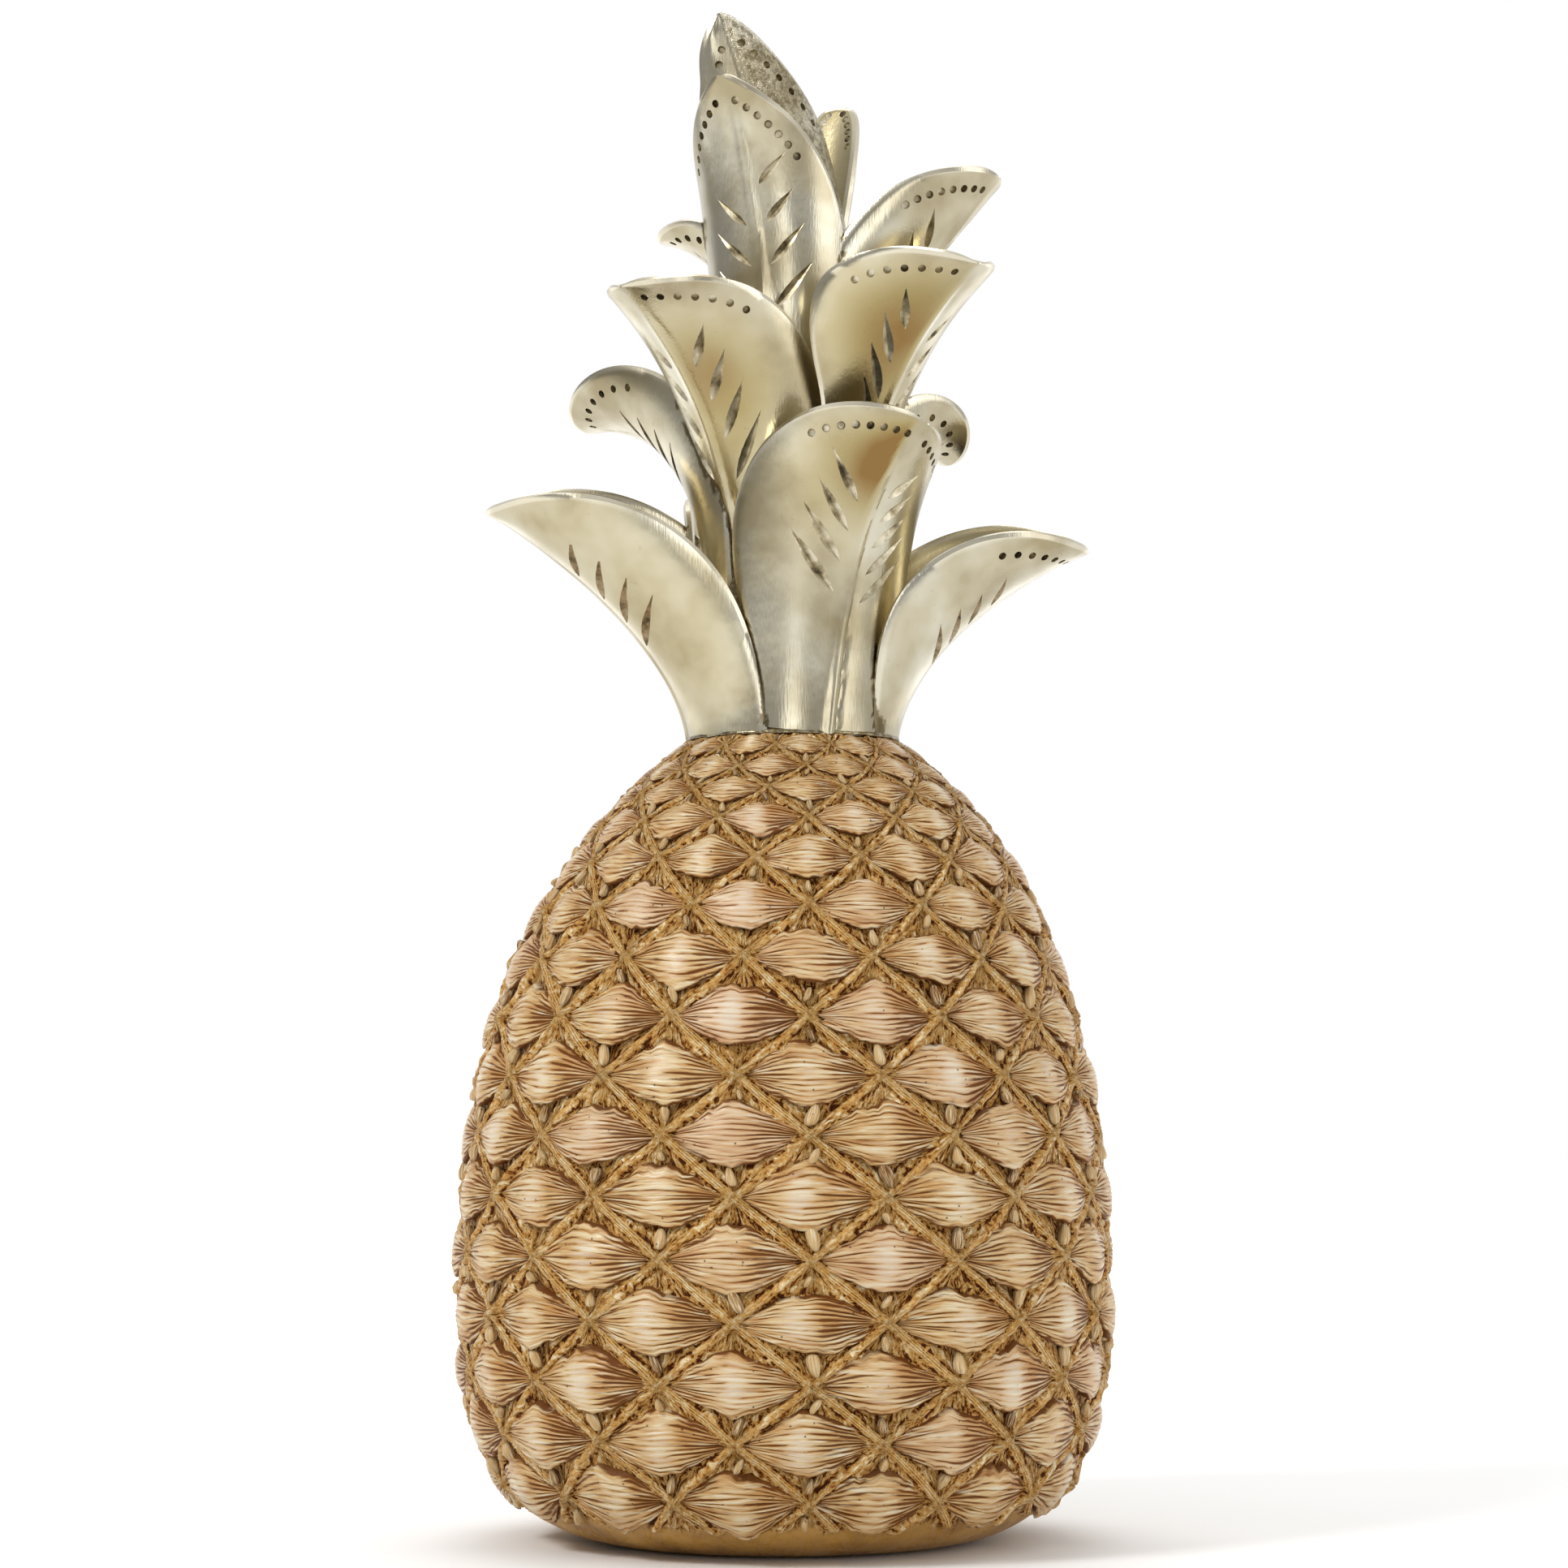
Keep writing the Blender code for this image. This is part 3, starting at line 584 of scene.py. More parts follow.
# Polyresin under silver leaf with a champagne lacquer. The leaf is laid in overlapping squares and
# burnished, so it is a satin metal with faint clouds, fine scratches, pits and a golden cast in folds.
# That golden cast is partly lacquer and partly painted reflection and shade, the rims carry a painted
# highlight, and the dark seams between the leaves are wash with painted shade.
silver, tree, shader = new_surface("champagne_silver_leaf")
position = node(tree, "TexCoord").outputs["Object"]
CLOUDS = 42.0                  # to a metre
clouds = node(tree, "TexNoise", {"Vector": position, "Scale": CLOUDS, "Detail": 3.0, "Roughness": 0.55})
silver_tone = node(tree, "ValToRGB", {0: clouds}, stops=((0.32, "#A4987A"), (0.68, "#D0CBB9"),
                                                         (0.50, "#BEB59C")))
# The golden cast: partly lacquer, partly painted reflection and shade of folds and inner faces
gold = node(tree, "Attribute", attribute_name="gold").outputs["Fac"]
gold_edge = node(tree, "Math", {0: clouds, 1: 0.5, 2: gold}, operation="MULTIPLY_ADD")
gold_share = node(tree, "MapRange", {0: gold_edge, 1: 0.30, 2: 1.35, 3: 0, 4: 1.0})
gold_tone = node(tree, "ValToRGB", {0: gold_share}, stops=((0.35, "#B2A068"), (1.0, "#8A6C40"),
                                                           (0.70, "#9F8C54")))
tone = node(tree, "Mix", {0: gold_share, 6: silver_tone, 7: gold_tone}, data_type="RGBA")
WORN_PITCH = 1.3               # between the pits in the lacquer
wear = node(tree, "TexNoise", {"Vector": position, "Scale": 1 / (WORN_PITCH * MM), "Detail": 3.0,
                               "Roughness": 0.65})
worn = node(tree, "MapRange", {0: wear, 1: 0.66, 2: 0.74, 3: 0, 4: 0.35})
# The wash in the seams, with painted shade between the leaves
seam = node(tree, "Attribute", attribute_name="seam").outputs["Fac"]
seam_edge = node(tree, "Math", {0: wear, 1: 0.7, 2: seam}, operation="MULTIPLY_ADD")
seam_share = node(tree, "MapRange", {0: seam_edge, 1: 0.78, 2: 1.0, 3: 0, 4: 0.85})
pitted = node(tree, "Attribute", attribute_name="pitted").outputs["Fac"]
PIT_PITCH = 2.2                # between the pits of the rough leaf
PIT_SHARE = 12.0               # how much stronger its relief is than the fine scratches
pits = node(tree, "TexNoise", {"Vector": position, "Scale": 1 / (PIT_PITCH * MM), "Detail": 4.0,
                               "Roughness": 0.7})
pit_floor = node(tree, "MapRange", {0: pits, 1: 0.55, 2: 0.40, 3: 0, 4: 0.75})
pit_share = node(tree, "Math", {0: pit_floor, 1: pitted}, operation="MULTIPLY")
# A painted highlight along the rims
rim = node(tree, "Attribute", attribute_name="rim").outputs["Fac"]
rim_edge = node(tree, "Math", {0: clouds, 1: 0.8, 2: rim}, operation="MULTIPLY_ADD")
rim_share = node(tree, "MapRange", {0: rim_edge, 1: 0.95, 2: 1.35, 3: 0, 4: 0.5})
# Worn lacquer, dirt in the pits, a painted highlight along the rims, and the wash in the seams with
# painted shade between the leaves
for share, coat in ((worn, "#7E6C4A"), (pit_share, "#6A5C3F"), (rim_share, "#E6E0CF"),
                    (seam_share, "#5E4D2C")):
    tone = node(tree, "Mix", {0: share, 6: tone, 7: linear(coat)}, data_type="RGBA")
gloss = node(tree, "MapRange", {0: clouds, 1: 0.3, 2: 0.7, 3: 0.31, 4: 0.19})
SCRATCH_PITCH = 0.5            # drawn coarser than the real hairlines so that it shows
scratch_place = node(tree, "Mapping", {0: position, "Rotation": (0.3, 0.5, 0), "Scale": (1, 1, 0.12)})
scratches = node(tree, "TexNoise", {"Vector": scratch_place, "Scale": 1 / (SCRATCH_PITCH * MM),
                                    "Detail": 2.0})
HAMMER_MARKS = 120.0           # to a metre
hammered = node(tree, "TexNoise", {"Vector": position, "Scale": HAMMER_MARKS, "Detail": 2.0})
fine = node(tree, "Math", {0: scratches, 1: 0.35, 2: hammered}, operation="MULTIPLY_ADD")
pit_relief = node(tree, "Math", {0: pits, 1: pitted}, operation="MULTIPLY")
rough_leaf = node(tree, "Math", {0: pit_relief, 1: PIT_SHARE, 2: fine}, operation="MULTIPLY_ADD")
LEAF_RELIEF = 0.12
bump = node(tree, "Bump", {"Strength": 1.0, "Distance": LEAF_RELIEF * MM, "Height": rough_leaf})
connect(shader, {"Base Color": tone, "Metallic": 1.0, "Roughness": gloss, "Normal": bump})

angles, stations = np.meshgrid(np.linspace(0, math.tau, STALK_SIDES + 1), np.arange(len(STALK)))
radius, height = np.array(STALK)[stations, 0], np.array(STALK)[stations, 1]
radius += UNEVENNESS * mottle(angles * LATTICE_SIZE / math.tau, 0 * angles) * (height < UNEVEN_LIP)
points = np.stack((radius * np.cos(angles) + CROWN_OFFSET, radius * np.sin(angles), height), -1)
# Seen only between the leaves, the stalk carries the seam's wash and painted shade all over
add_piece("stalk", points.reshape(-1, 3), grid_quads(*angles.shape), silver, "crown",
          marks={"gold": 0 * angles + 0.2, "seam": 0 * angles + 0.6}, weld=True)

# Leaves of the crown
# Fourteen leaves modelled by hand on the master as half pipes that bend outwards. Each has a slender
# midrib, slanting cuts made with a gouge on both sides of it and dots punched in along its rim.
LEAF_THICKNESS = 3.0
THINNER_RIM = 0.6
ROOT_DEPTH = 20                # how far the foot of an upper leaf runs down inside the stalk
UPPER_LEAVES_FROM = 250        # height of the foot
TIP_HALF_WIDTH = 0.7
LEAF_ROWS = 54
LEAF_COLUMNS = 36
TIP_CROWDING = 1.5             # powers that draw the rows to the tip and the columns to the midrib
MIDRIB_CROWDING = 1.4
TIP_ROUNDING = 0.025           # share of the leaf that rounds off at its tip
UNEVEN_FACE = 0.25
MIDRIB_RISE = 0.75
MIDRIB_HALF_WIDTH = 1.4
MIDRIB_GROOVE = 0.5
MIDRIB_GROOVE_OFF = 2.1        # right of the midrib
MIDRIB_GROOVE_HALF = 0.55
FULL_MIDRIB = 30               # half width of a leaf, below which its midrib is finer
CUT_HALF_WIDTH = 1.55
CUT_DEPTH = 1.25
CUT_STATIONS = 9
FULL_CUTS = 36                 # half width of a leaf, below which its cuts are smaller
DOT_INSET = 5.2                # in from the rim
SMALL_LEAF = 25                # half width, below which the dots are fewer and nearer to the rim
DOT_RADIUS = 1.1
DOT_DEPTH = 1.8
PUNCH_TIP, PUNCH_TOP = 0.8, 1.15        # shares of the radius at the ends of the tapered punch
DOT_SIDES = 14
CUTTER_LIFT = 1.0              # how far the gouge and the punch stand out of the leaf
STEP = 0.01                    # along a leaf, to find its direction
SHARP_EDGE = 32                # degrees

# Where each leaf stands. Its turn round the stalk runs from foot to tip, 0 to the front and 90 to the
# right, and its keel has four control points, distance from the axis and height. The half width is
# measured round the half pipe, whose radius runs from foot to tip, and foot is a share of it. The
# widest place is a share of the length. Twist is in degrees, sweep carries the tip sideways, and
# blunt and taper shape it
LEAVES = {
    "low_left": dict(turn=(-90, -90), keel=((29.5, 221), (30.5, 240), (55, 268), (86.5, 286)),
                     half=45, foot=0.84, widest=0.48, pipe=(29.5, 23), twist=-14, blunt=0.55),
    "low_front": dict(turn=(19, 46), keel=((29.5, 221), (29.5, 255), (36, 285), (51, 306)),
                      half=41, foot=0.46, widest=0.60, pipe=(29.5, 31), blunt=0.6),
    "low_right": dict(turn=(104, 96), keel=((29.5, 221), (30.5, 240), (52, 263), (84, 276)),
                      half=38, foot=0.70, widest=0.5, pipe=(29.5, 23), twist=10, blunt=0.5),
    "low_back": dict(turn=(187, 190), keel=((28.9, 221), (29.5, 250), (42, 280), (66, 292)),
                     half=40, foot=0.52, widest=0.55, pipe=(29.5, 27), blunt=0.6),
    "second_left": dict(turn=(-115, -125), keel=((24.3, 262), (27, 296), (43, 317), (73.5, 316)),
                        half=35, foot=0.8, widest=0.45, pipe=(24, 20), blunt=0.6),
    "second_right": dict(turn=(120, 120), keel=((23.8, 262), (24, 294), (37, 312), (52, 304)),
                         half=32, foot=0.8, widest=0.45, pipe=(24, 18), blunt=0.6),
    "third_left": dict(turn=(-50, -50), keel=((20.3, 262), (24, 303), (39, 328), (62, 343)),
                       half=38, foot=0.62, widest=0.5, pipe=(20.3, 27), blunt=0.65),
    "third_right": dict(turn=(50, 50), keel=((20.8, 265), (24, 310), (43.5, 334), (66, 349)),
                        half=38, foot=0.62, widest=0.5, pipe=(20.8, 27), blunt=0.55),
    "third_back": dict(turn=(178, 178), keel=((19.8, 265), (24, 308), (42, 330), (64, 340)),
                       half=36, foot=0.62, widest=0.5, pipe=(19.8, 27), blunt=0.6),
    "fourth_right": dict(turn=(80, 80), keel=((17, 310), (21, 338), (42, 360), (59, 380)),
                         half=30, foot=0.6, widest=0.5, pipe=(18, 20), twist=-10, blunt=0.6),
    "fourth_left": dict(turn=(-120, -115), keel=((12, 320), (14, 348), (23, 363), (42, 367)),
                        half=20, foot=0.7, widest=0.5, pipe=(16, 15), blunt=0.6),
    "top_front": dict(turn=(-30, -33), keel=((20, 300), (24, 340), (28, 380), (38, 404)),
                      half=30.5, foot=0.7, widest=0.45, pipe=(20, 25), blunt=0.9),
    "top_back_right": dict(turn=(152, 152), keel=((10, 330), (14, 360), (24, 390), (30, 408)),
                           half=10.5, foot=0.8, widest=0.6, pipe=(14, 18), blunt=0.45),
    "top": dict(turn=(5, 5), keel=((8, 310), (12, 350), (12, 392), (10, 427)), sweep=-22,
                half=26.5, foot=0.7, widest=0.64, pipe=(22, 20), taper=1.4, blunt=0.85),
}
# How each leaf was carved. The rib says how far right of the keel the midrib lies at foot and tip.
# A row of cuts has its first place along the leaf, the step and the count, then its distance from the
# midrib and how far a cut runs out and up. Dots are counted left and right of the tip. The edges give
# the share of the width on both sides, its gain towards the tip and where the gain starts and ends
CARVING = dict(rib=(0, 0), cuts=(0.41, 0.095, 4, 4.0, 9.0, 11.0), dots=(7, 7), dot_pitch=5.0,
               edges=((1, 0, 0, 1), (1, 0, 0, 1)))
OWN_CARVING = {
    "low_left": dict(left_cuts=(0.34, 0.095, 4, 8, 17, 7), right_cuts=(0.41, 0.095, 4, 8, 17, 7),
                     dots=(0, 0)),
    "low_front": dict(rib=(0, -4), left_cuts=(0.395, 0.092, 4, 4.5, 16, 13),
                      right_cuts=(0.38, 0.085, 5, 4, 12, 14), dots=(8, 6), dot_pitch=3.9),
    "low_right": dict(left_cuts=(0.38, 0.095, 4, 7, 14, 8), right_cuts=(0.36, 0.095, 4, 7, 14, 8),
                      dots=(7, 6), dot_pitch=4.3),
    "second_left": dict(cuts=(0.34, 0.095, 4, 6, 14, 9)),
    "third_left": dict(left_cuts=(0.29, 0.12, 4, 3.5, 8, 14), right_cuts=(0.28, 0.12, 4, 5.5, 12, 15),
                       dots=(0, 7)),
    "third_right": dict(left_cuts=(0.34, 0.115, 4, 6.5, 9, 15), right_cuts=(0.30, 0.12, 4, 4, 8, 14),
                        dots=(7, 0), edges=((0.48, 0.52, 0.35, 0.72), (1, 0, 0, 1))),
    "fourth_right": dict(left_cuts=(0.40, 0.12, 3, 8, 9, 14), dots=(8, 0), dot_pitch=3.6),
    "top_front": dict(rib=(7, 2), left_cuts=(0.34, 0.105, 3, 3, 13, 12),
                      right_cuts=(0.34, 0.105, 4, 3, 13, 12), dot_pitch=4.2),
    "top_back_right": dict(cuts=(0.3, 0.1, 2, 3, 6, 8), dots=(8, 7), dot_pitch=3.0, dot_depth=6.0),
    "top": dict(cuts=(0.41, 0.095, 4, 4, 8, 10),
                edges=((0.76, 0.26, 0.84, 0.97), (1.08, -0.28, 0.62, 0.9))),
}
# Where the leaf is painted golden on one side of the midrib, partly lacquer that gathered there and
# partly painted reflection and shade of the fold: place and reach along the leaf, place and reach
# across it, and strength
GOLD_FOLDS = {"low_front": (0.86, 0.27, -0.16, 0.56, 1.25), "third_left": (0.58, 0.30, 0.25, 0.5, 0.95),
              "third_right": (0.66, 0.36, -0.25, 0.65, 1.12), "low_left": (0.45, 0.8, 0.3, 1.5, 0.32)}
PITTED_LEAF = "top"
PLAIN_FOLD = (0.3, 0.2, 0.01, 0.3, 0.25)
PITTED_SIDE = (-0.15, 0.25)    # across that leaf, where its rough side starts
GOLD_INSIDE = 0.55             # on the inner face of every leaf, partly lacquer and partly painted reflection
GOLD_FADE = 1.5                # beside the midrib
SEAM_REACH = 1.3               # from the next leaf, where the wash was left and painted shade darkens the seam

# The floor of a cut and of a dot, where the brown wash stays on the silver leaf: the same metal,
# stained and less polished, so the strokes read as dark lines with pale flecks
cut_silver, tree, shader = new_surface("silver_leaf_under_antique_wash")
position = node(tree, "TexCoord").outputs["Object"]
STAIN_PITCH = 5.0              # between the stains
stain = node(tree, "TexNoise", {"Vector": position, "Scale": 1 / (STAIN_PITCH * MM), "Detail": 4.0,
                                "Roughness": 0.6})
stained = node(tree, "ValToRGB", {0: stain}, stops=((0.34, "#5E5442"), (0.62, "#D2CAB4"),
                                                    (0.46, "#A29678")))
rough = node(tree, "MapRange", {0: stain, 1: 0.3, 2: 0.7, 3: 0.5, 4: 0.3})
connect(shader, {"Base Color": stained, "Metallic": 1.0, "Roughness": rough})


def unit(vectors):
    """The same directions with length 1."""
    return vectors / np.linalg.norm(vectors, axis=-1, keepdims=True)


def leaf_spine(leaf, t):
    """Points on the keel of a leaf, and the directions across it."""
    azimuth = np.radians(leaf["turn"][0] + (leaf["turn"][1] - leaf["turn"][0]) * t)
    keel = curve(leaf["keel"], t)
    side = np.stack((np.cos(azimuth), np.sin(azimuth), 0 * azimuth), -1)
    out = np.stack((np.sin(azimuth), -np.cos(azimuth), 0 * azimuth), -1)
    point = out * keel[..., :1] + side * (leaf.get("sweep", 0) * t * t)[..., None]
    point = point + np.stack((CROWN_OFFSET + 0 * t, 0 * t, keel[..., 1]), -1)
    return point, side


def leaf_width(leaf, t):
    """Half width of a leaf in mm, measured round its pipe."""
    low = leaf["foot"] + (1 - leaf["foot"]) * ease(0, leaf["widest"], t)
    share = np.clip((t - leaf["widest"]) / (1 - leaf["widest"]), 0, 1)
    high = (1 - share ** leaf.get("taper", 2.0)) ** leaf["blunt"]
    return np.maximum(leaf["half"] * np.where(t < leaf["widest"], low, high), TIP_HALF_WIDTH)


def leaf_face(leaf, t, u):
    """Points on the outer face of a leaf, and the directions away from it."""
    point, side = leaf_spine(leaf, t)
    before, after = np.maximum(t - STEP, 0), np.minimum(t + STEP, 1)
    along = unit(leaf_spine(leaf, after)[0] - leaf_spine(leaf, before)[0])
    side = unit(side - along * np.sum(side * along, -1, keepdims=True))
    inward = np.cross(along, side)
    roll = np.radians(leaf.get("twist", 0) * t)[..., None]
    across = side * np.cos(roll) + inward * np.sin(roll)
    depth = inward * np.cos(roll) - side * np.sin(roll)
    radius = (leaf["pipe"][0] + (leaf["pipe"][1] - leaf["pipe"][0]) * t)[..., None]
    angle = leaf_width(leaf, t)[..., None] * u[..., None] / radius
    left, right = (low + gain * ease(start, end, t) for low, gain, start, end in leaf["edges"])
    angle *= np.where(u < 0, left, right)[..., None]
    away = across * np.sin(angle) - depth * np.cos(angle)
    return point + depth * radius + away * radius, away


def leaf_length(leaf):
    """Length of a leaf along its keel."""
    points = leaf_spine(leaf, np.linspace(0, 1, 60))[0]
    return np.linalg.norm(np.diff(points, axis=0), axis=-1).sum()


def rib_place(leaf, t):
    """How far right of the keel the midrib lies, in mm."""
    foot, tip = leaf["rib"]
    return foot + (tip - foot) * t


def leaf_shell(name, leaf):
    """A leaf with its midrib and rounded rims, as rings of points from foot to tip."""
    t, v = np.meshgrid(1 - (1 - np.linspace(0, 1, LEAF_ROWS + 1)) ** TIP_CROWDING,
                       np.linspace(-1, 1, LEAF_COLUMNS + 1), indexing="ij")
    u = np.sign(v) * np.abs(v) ** MIDRIB_CROWDING
    face, away = leaf_face(leaf, t, u)
    off = u * leaf_width(leaf, t) - rib_place(leaf, t)
    rib_share = ease(0.98, 0.72, t) * min(leaf["half"] / FULL_MIDRIB, 1)
    rib = MIDRIB_RISE * np.exp(-(off / MIDRIB_HALF_WIDTH) ** 2)
    groove = np.exp(-((off - MIDRIB_GROOVE_OFF) / MIDRIB_GROOVE_HALF) ** 2)
    rib -= MIDRIB_GROOVE * groove * (0.5 + ease(0.45, 0.1, t))
    seed = 7.3 * len(name)
    rib = rib * rib_share + UNEVEN_FACE * mottle(t * 5 + seed, u * 2.5 + seed)
    end = np.clip((t - 1 + TIP_ROUNDING) / TIP_ROUNDING, 0, 1)
    thick = (LEAF_THICKNESS - THINNER_RIM * u * u) * np.sqrt(1 - 0.96 * end * end)
    inner = face - away * thick[..., None]
    middle = face - away * thick[..., None] / 2
    outer = face + away * rib[..., None] * (1 - end[..., None])
    rims = []
    for column, step in ((-1, 1), (0, -1)):
        edge = unit(np.cross(away[:, column], unit(np.gradient(face[:, column], axis=0))))
        edge *= np.sign(np.sum(edge * (face[:, column] - face[:, column - step]), -1, keepdims=True))
        half = thick[:, column, None] / 2
        bulge = [middle[:, column] + half * (away[:, column] * math.cos(a) + edge * math.sin(a))
                 for a in (math.pi / 3, 2 * math.pi / 3)]
        rims.append(bulge if column == -1 else bulge[::-1])
    loop = np.concatenate((outer, np.stack(rims[0], 1), inner[:, ::-1], np.stack(rims[1], 1)), 1)
    ring = loop.shape[1]
    low_leaf = leaf["keel"][0][1] < UPPER_LEAVES_FROM
    if low_leaf:
        loop[..., 2] = np.maximum(loop[..., 2], SEAM_HEIGHT + FIT_GAP)
    else:
        loop = np.concatenate((loop[:1] - (0, 0, ROOT_DEPTH), loop))
    count = loop.shape[0]
    first = (np.arange(count - 1)[:, None] * ring + np.arange(ring)).ravel()
    following = (np.arange(count - 1)[:, None] * ring + (np.arange(ring) + 1) % ring).ravel()
    quads = np.stack((first, following, following + ring, first + ring), -1)
    across = np.arange(LEAF_COLUMNS)
    facing = 2 * LEAF_COLUMNS + 3 - across
    cap = np.stack((across, across + 1, facing - 1, facing), -1)
    ends = np.array([[LEAF_COLUMNS, LEAF_COLUMNS + 1, LEAF_COLUMNS + 2, LEAF_COLUMNS + 3],
                     [ring - 3, ring - 2, ring - 1, 0]])
    foot = np.concatenate((cap, ends))[:, ::-1]
    tip = np.concatenate((cap, ends)) + (count - 1) * ring
    # Golden cast, partly lacquer and partly painted reflection and shade in the fold and on the inner
    # face
    place, length, over, reach, strength = GOLD_FOLDS.get(name, PLAIN_FOLD)
    gold = strength * np.exp(-((t - place) / length) ** 2 - ((u - over) / reach) ** 2)
    gold *= ease(-GOLD_FADE, GOLD_FADE, math.copysign(1, over) * off)
    rough = ease(*PITTED_SIDE, u) if name == PITTED_LEAF else 0 * u
    marks = {}
    # A painted highlight along both rims of the leaf
    painted_highlight_band = ease(0.90, 1.0, np.abs(u))
    for key, mark, inside in (("gold", gold, GOLD_INSIDE + 0 * u), ("pitted", rough, 0 * u),
                              ("rim", painted_highlight_band, painted_highlight_band)):
        ring_mark = np.concatenate((mark, mark[:, -1:], inside[:, -1:], inside[:, ::-1],
                                    inside[:, :1], mark[:, :1]), 1)
        marks[key] = ring_mark if low_leaf else np.concatenate((ring_mark[:1], ring_mark))
    return loop.reshape(-1, 3), np.concatenate((quads, foot, tip)), marks


def gouge_cuts(leaf):
    """Closed wedges that cut the slanting lens-shaped strokes on both sides of the midrib."""
    length = leaf_length(leaf)
    share = np.linspace(0, 1, CUT_STATIONS)
    size = min(leaf["half"] / FULL_CUTS, 1)
    wedges = []
    for side, row in ((-1, "left_cuts"), (1, "right_cuts")):
        first, step, count, start, out, up = leaf.get(row, leaf["cuts"])
        for i in range(count):
            long = size * (1.12 - 0.1 * i)
            t = first + step * i + up * long * share / length
            off = side * (size * start + out * long * share) + rib_place(leaf, t)
            point, away = leaf_face(leaf, t, off / leaf_width(leaf, t))
            run = unit(np.gradient(point, axis=0))
            flank = np.cross(away, run)
            lens = (0.05 + 0.95 * np.sin(math.pi * share ** 0.7) ** 1.3)[:, None]
            half = CUT_HALF_WIDTH * size * lens
            depth = CUT_DEPTH * size * lens
            spread = 1 + CUTTER_LIFT / CUT_DEPTH
            left = point - flank * half * spread + away * (spread - 1) * depth
            right = point + flank * half * spread + away * (spread - 1) * depth
            wedges.append(np.stack((left, point - away * depth, right), 1))
    points = np.concatenate([w.reshape(-1, 3) for w in wedges])
    faces = []
    for base in range(0, len(points), 3 * CUT_STATIONS):
        for i in range(CUT_STATIONS - 1):
            for k in range(3):
                a, b = base + 3 * i + k, base + 3 * i + (k + 1) % 3
                faces.append((a, b, b + 3, a + 3))
        last = base + 3 * (CUT_STATIONS - 1)
        faces += [(base + 2, base + 1, base), (last, last + 1, last + 2)]
    return points, faces


def punched_dots(leaf):
    """Closed pegs that punch the row of dots along the rim, down both sides from the tip."""
    length = leaf_length(leaf)
    t = np.linspace(1, leaf["widest"] - 0.1, 400)
    rim = np.stack((leaf_width(leaf, t), t * length), -1)
    run = unit(np.gradient(rim, axis=0))
    inward = np.stack((run[:, 1], -run[:, 0]), -1)
    inset = rim + DOT_INSET * min(leaf["half"] / SMALL_LEAF, 1) * inward
    travel = np.concatenate(([0], np.cumsum(np.linalg.norm(np.diff(inset, axis=0), axis=-1))))
    kept = inset[:, 0] > DOT_RADIUS
    start = travel[kept][0]
    points, faces = [], []
    turn = np.linspace(0, math.tau, DOT_SIDES, endpoint=False)
    for side, dots in zip((-1, 1), leaf["dots"]):
        for i in range(dots if leaf["half"] > SMALL_LEAF else dots - 2):
            at = start + leaf["dot_pitch"] * (i + 0.7)
            x, y = np.interp(at, travel, inset[:, 0]), np.interp(at, travel, inset[:, 1])
            place = np.array([y / length])
            u = side * x / leaf_width(leaf, place)
            point, away = leaf_face(leaf, place, u)
            side_way = unit(np.cross(away, leaf_face(leaf, place + STEP, u)[0] - point))
            other = np.cross(away, side_way)
            around = side_way * np.cos(turn)[:, None] + other * np.sin(turn)[:, None]
            base = len(points) * 2 * DOT_SIDES
            low = point - away * leaf.get("dot_depth", DOT_DEPTH) + around * DOT_RADIUS * PUNCH_TIP
            high = point + away * CUTTER_LIFT + around * DOT_RADIUS * PUNCH_TOP
            points.append(np.concatenate((low, high)))
            for k in range(DOT_SIDES):
                following = (k + 1) % DOT_SIDES
                faces.append((base + k, base + following, base + DOT_SIDES + following,
                              base + DOT_SIDES + k))
            faces.append(tuple(base + k for k in reversed(range(DOT_SIDES))))
            faces.append(tuple(base + DOT_SIDES + k for k in range(DOT_SIDES)))
    return np.concatenate(points) if points else np.zeros((0, 3)), faces


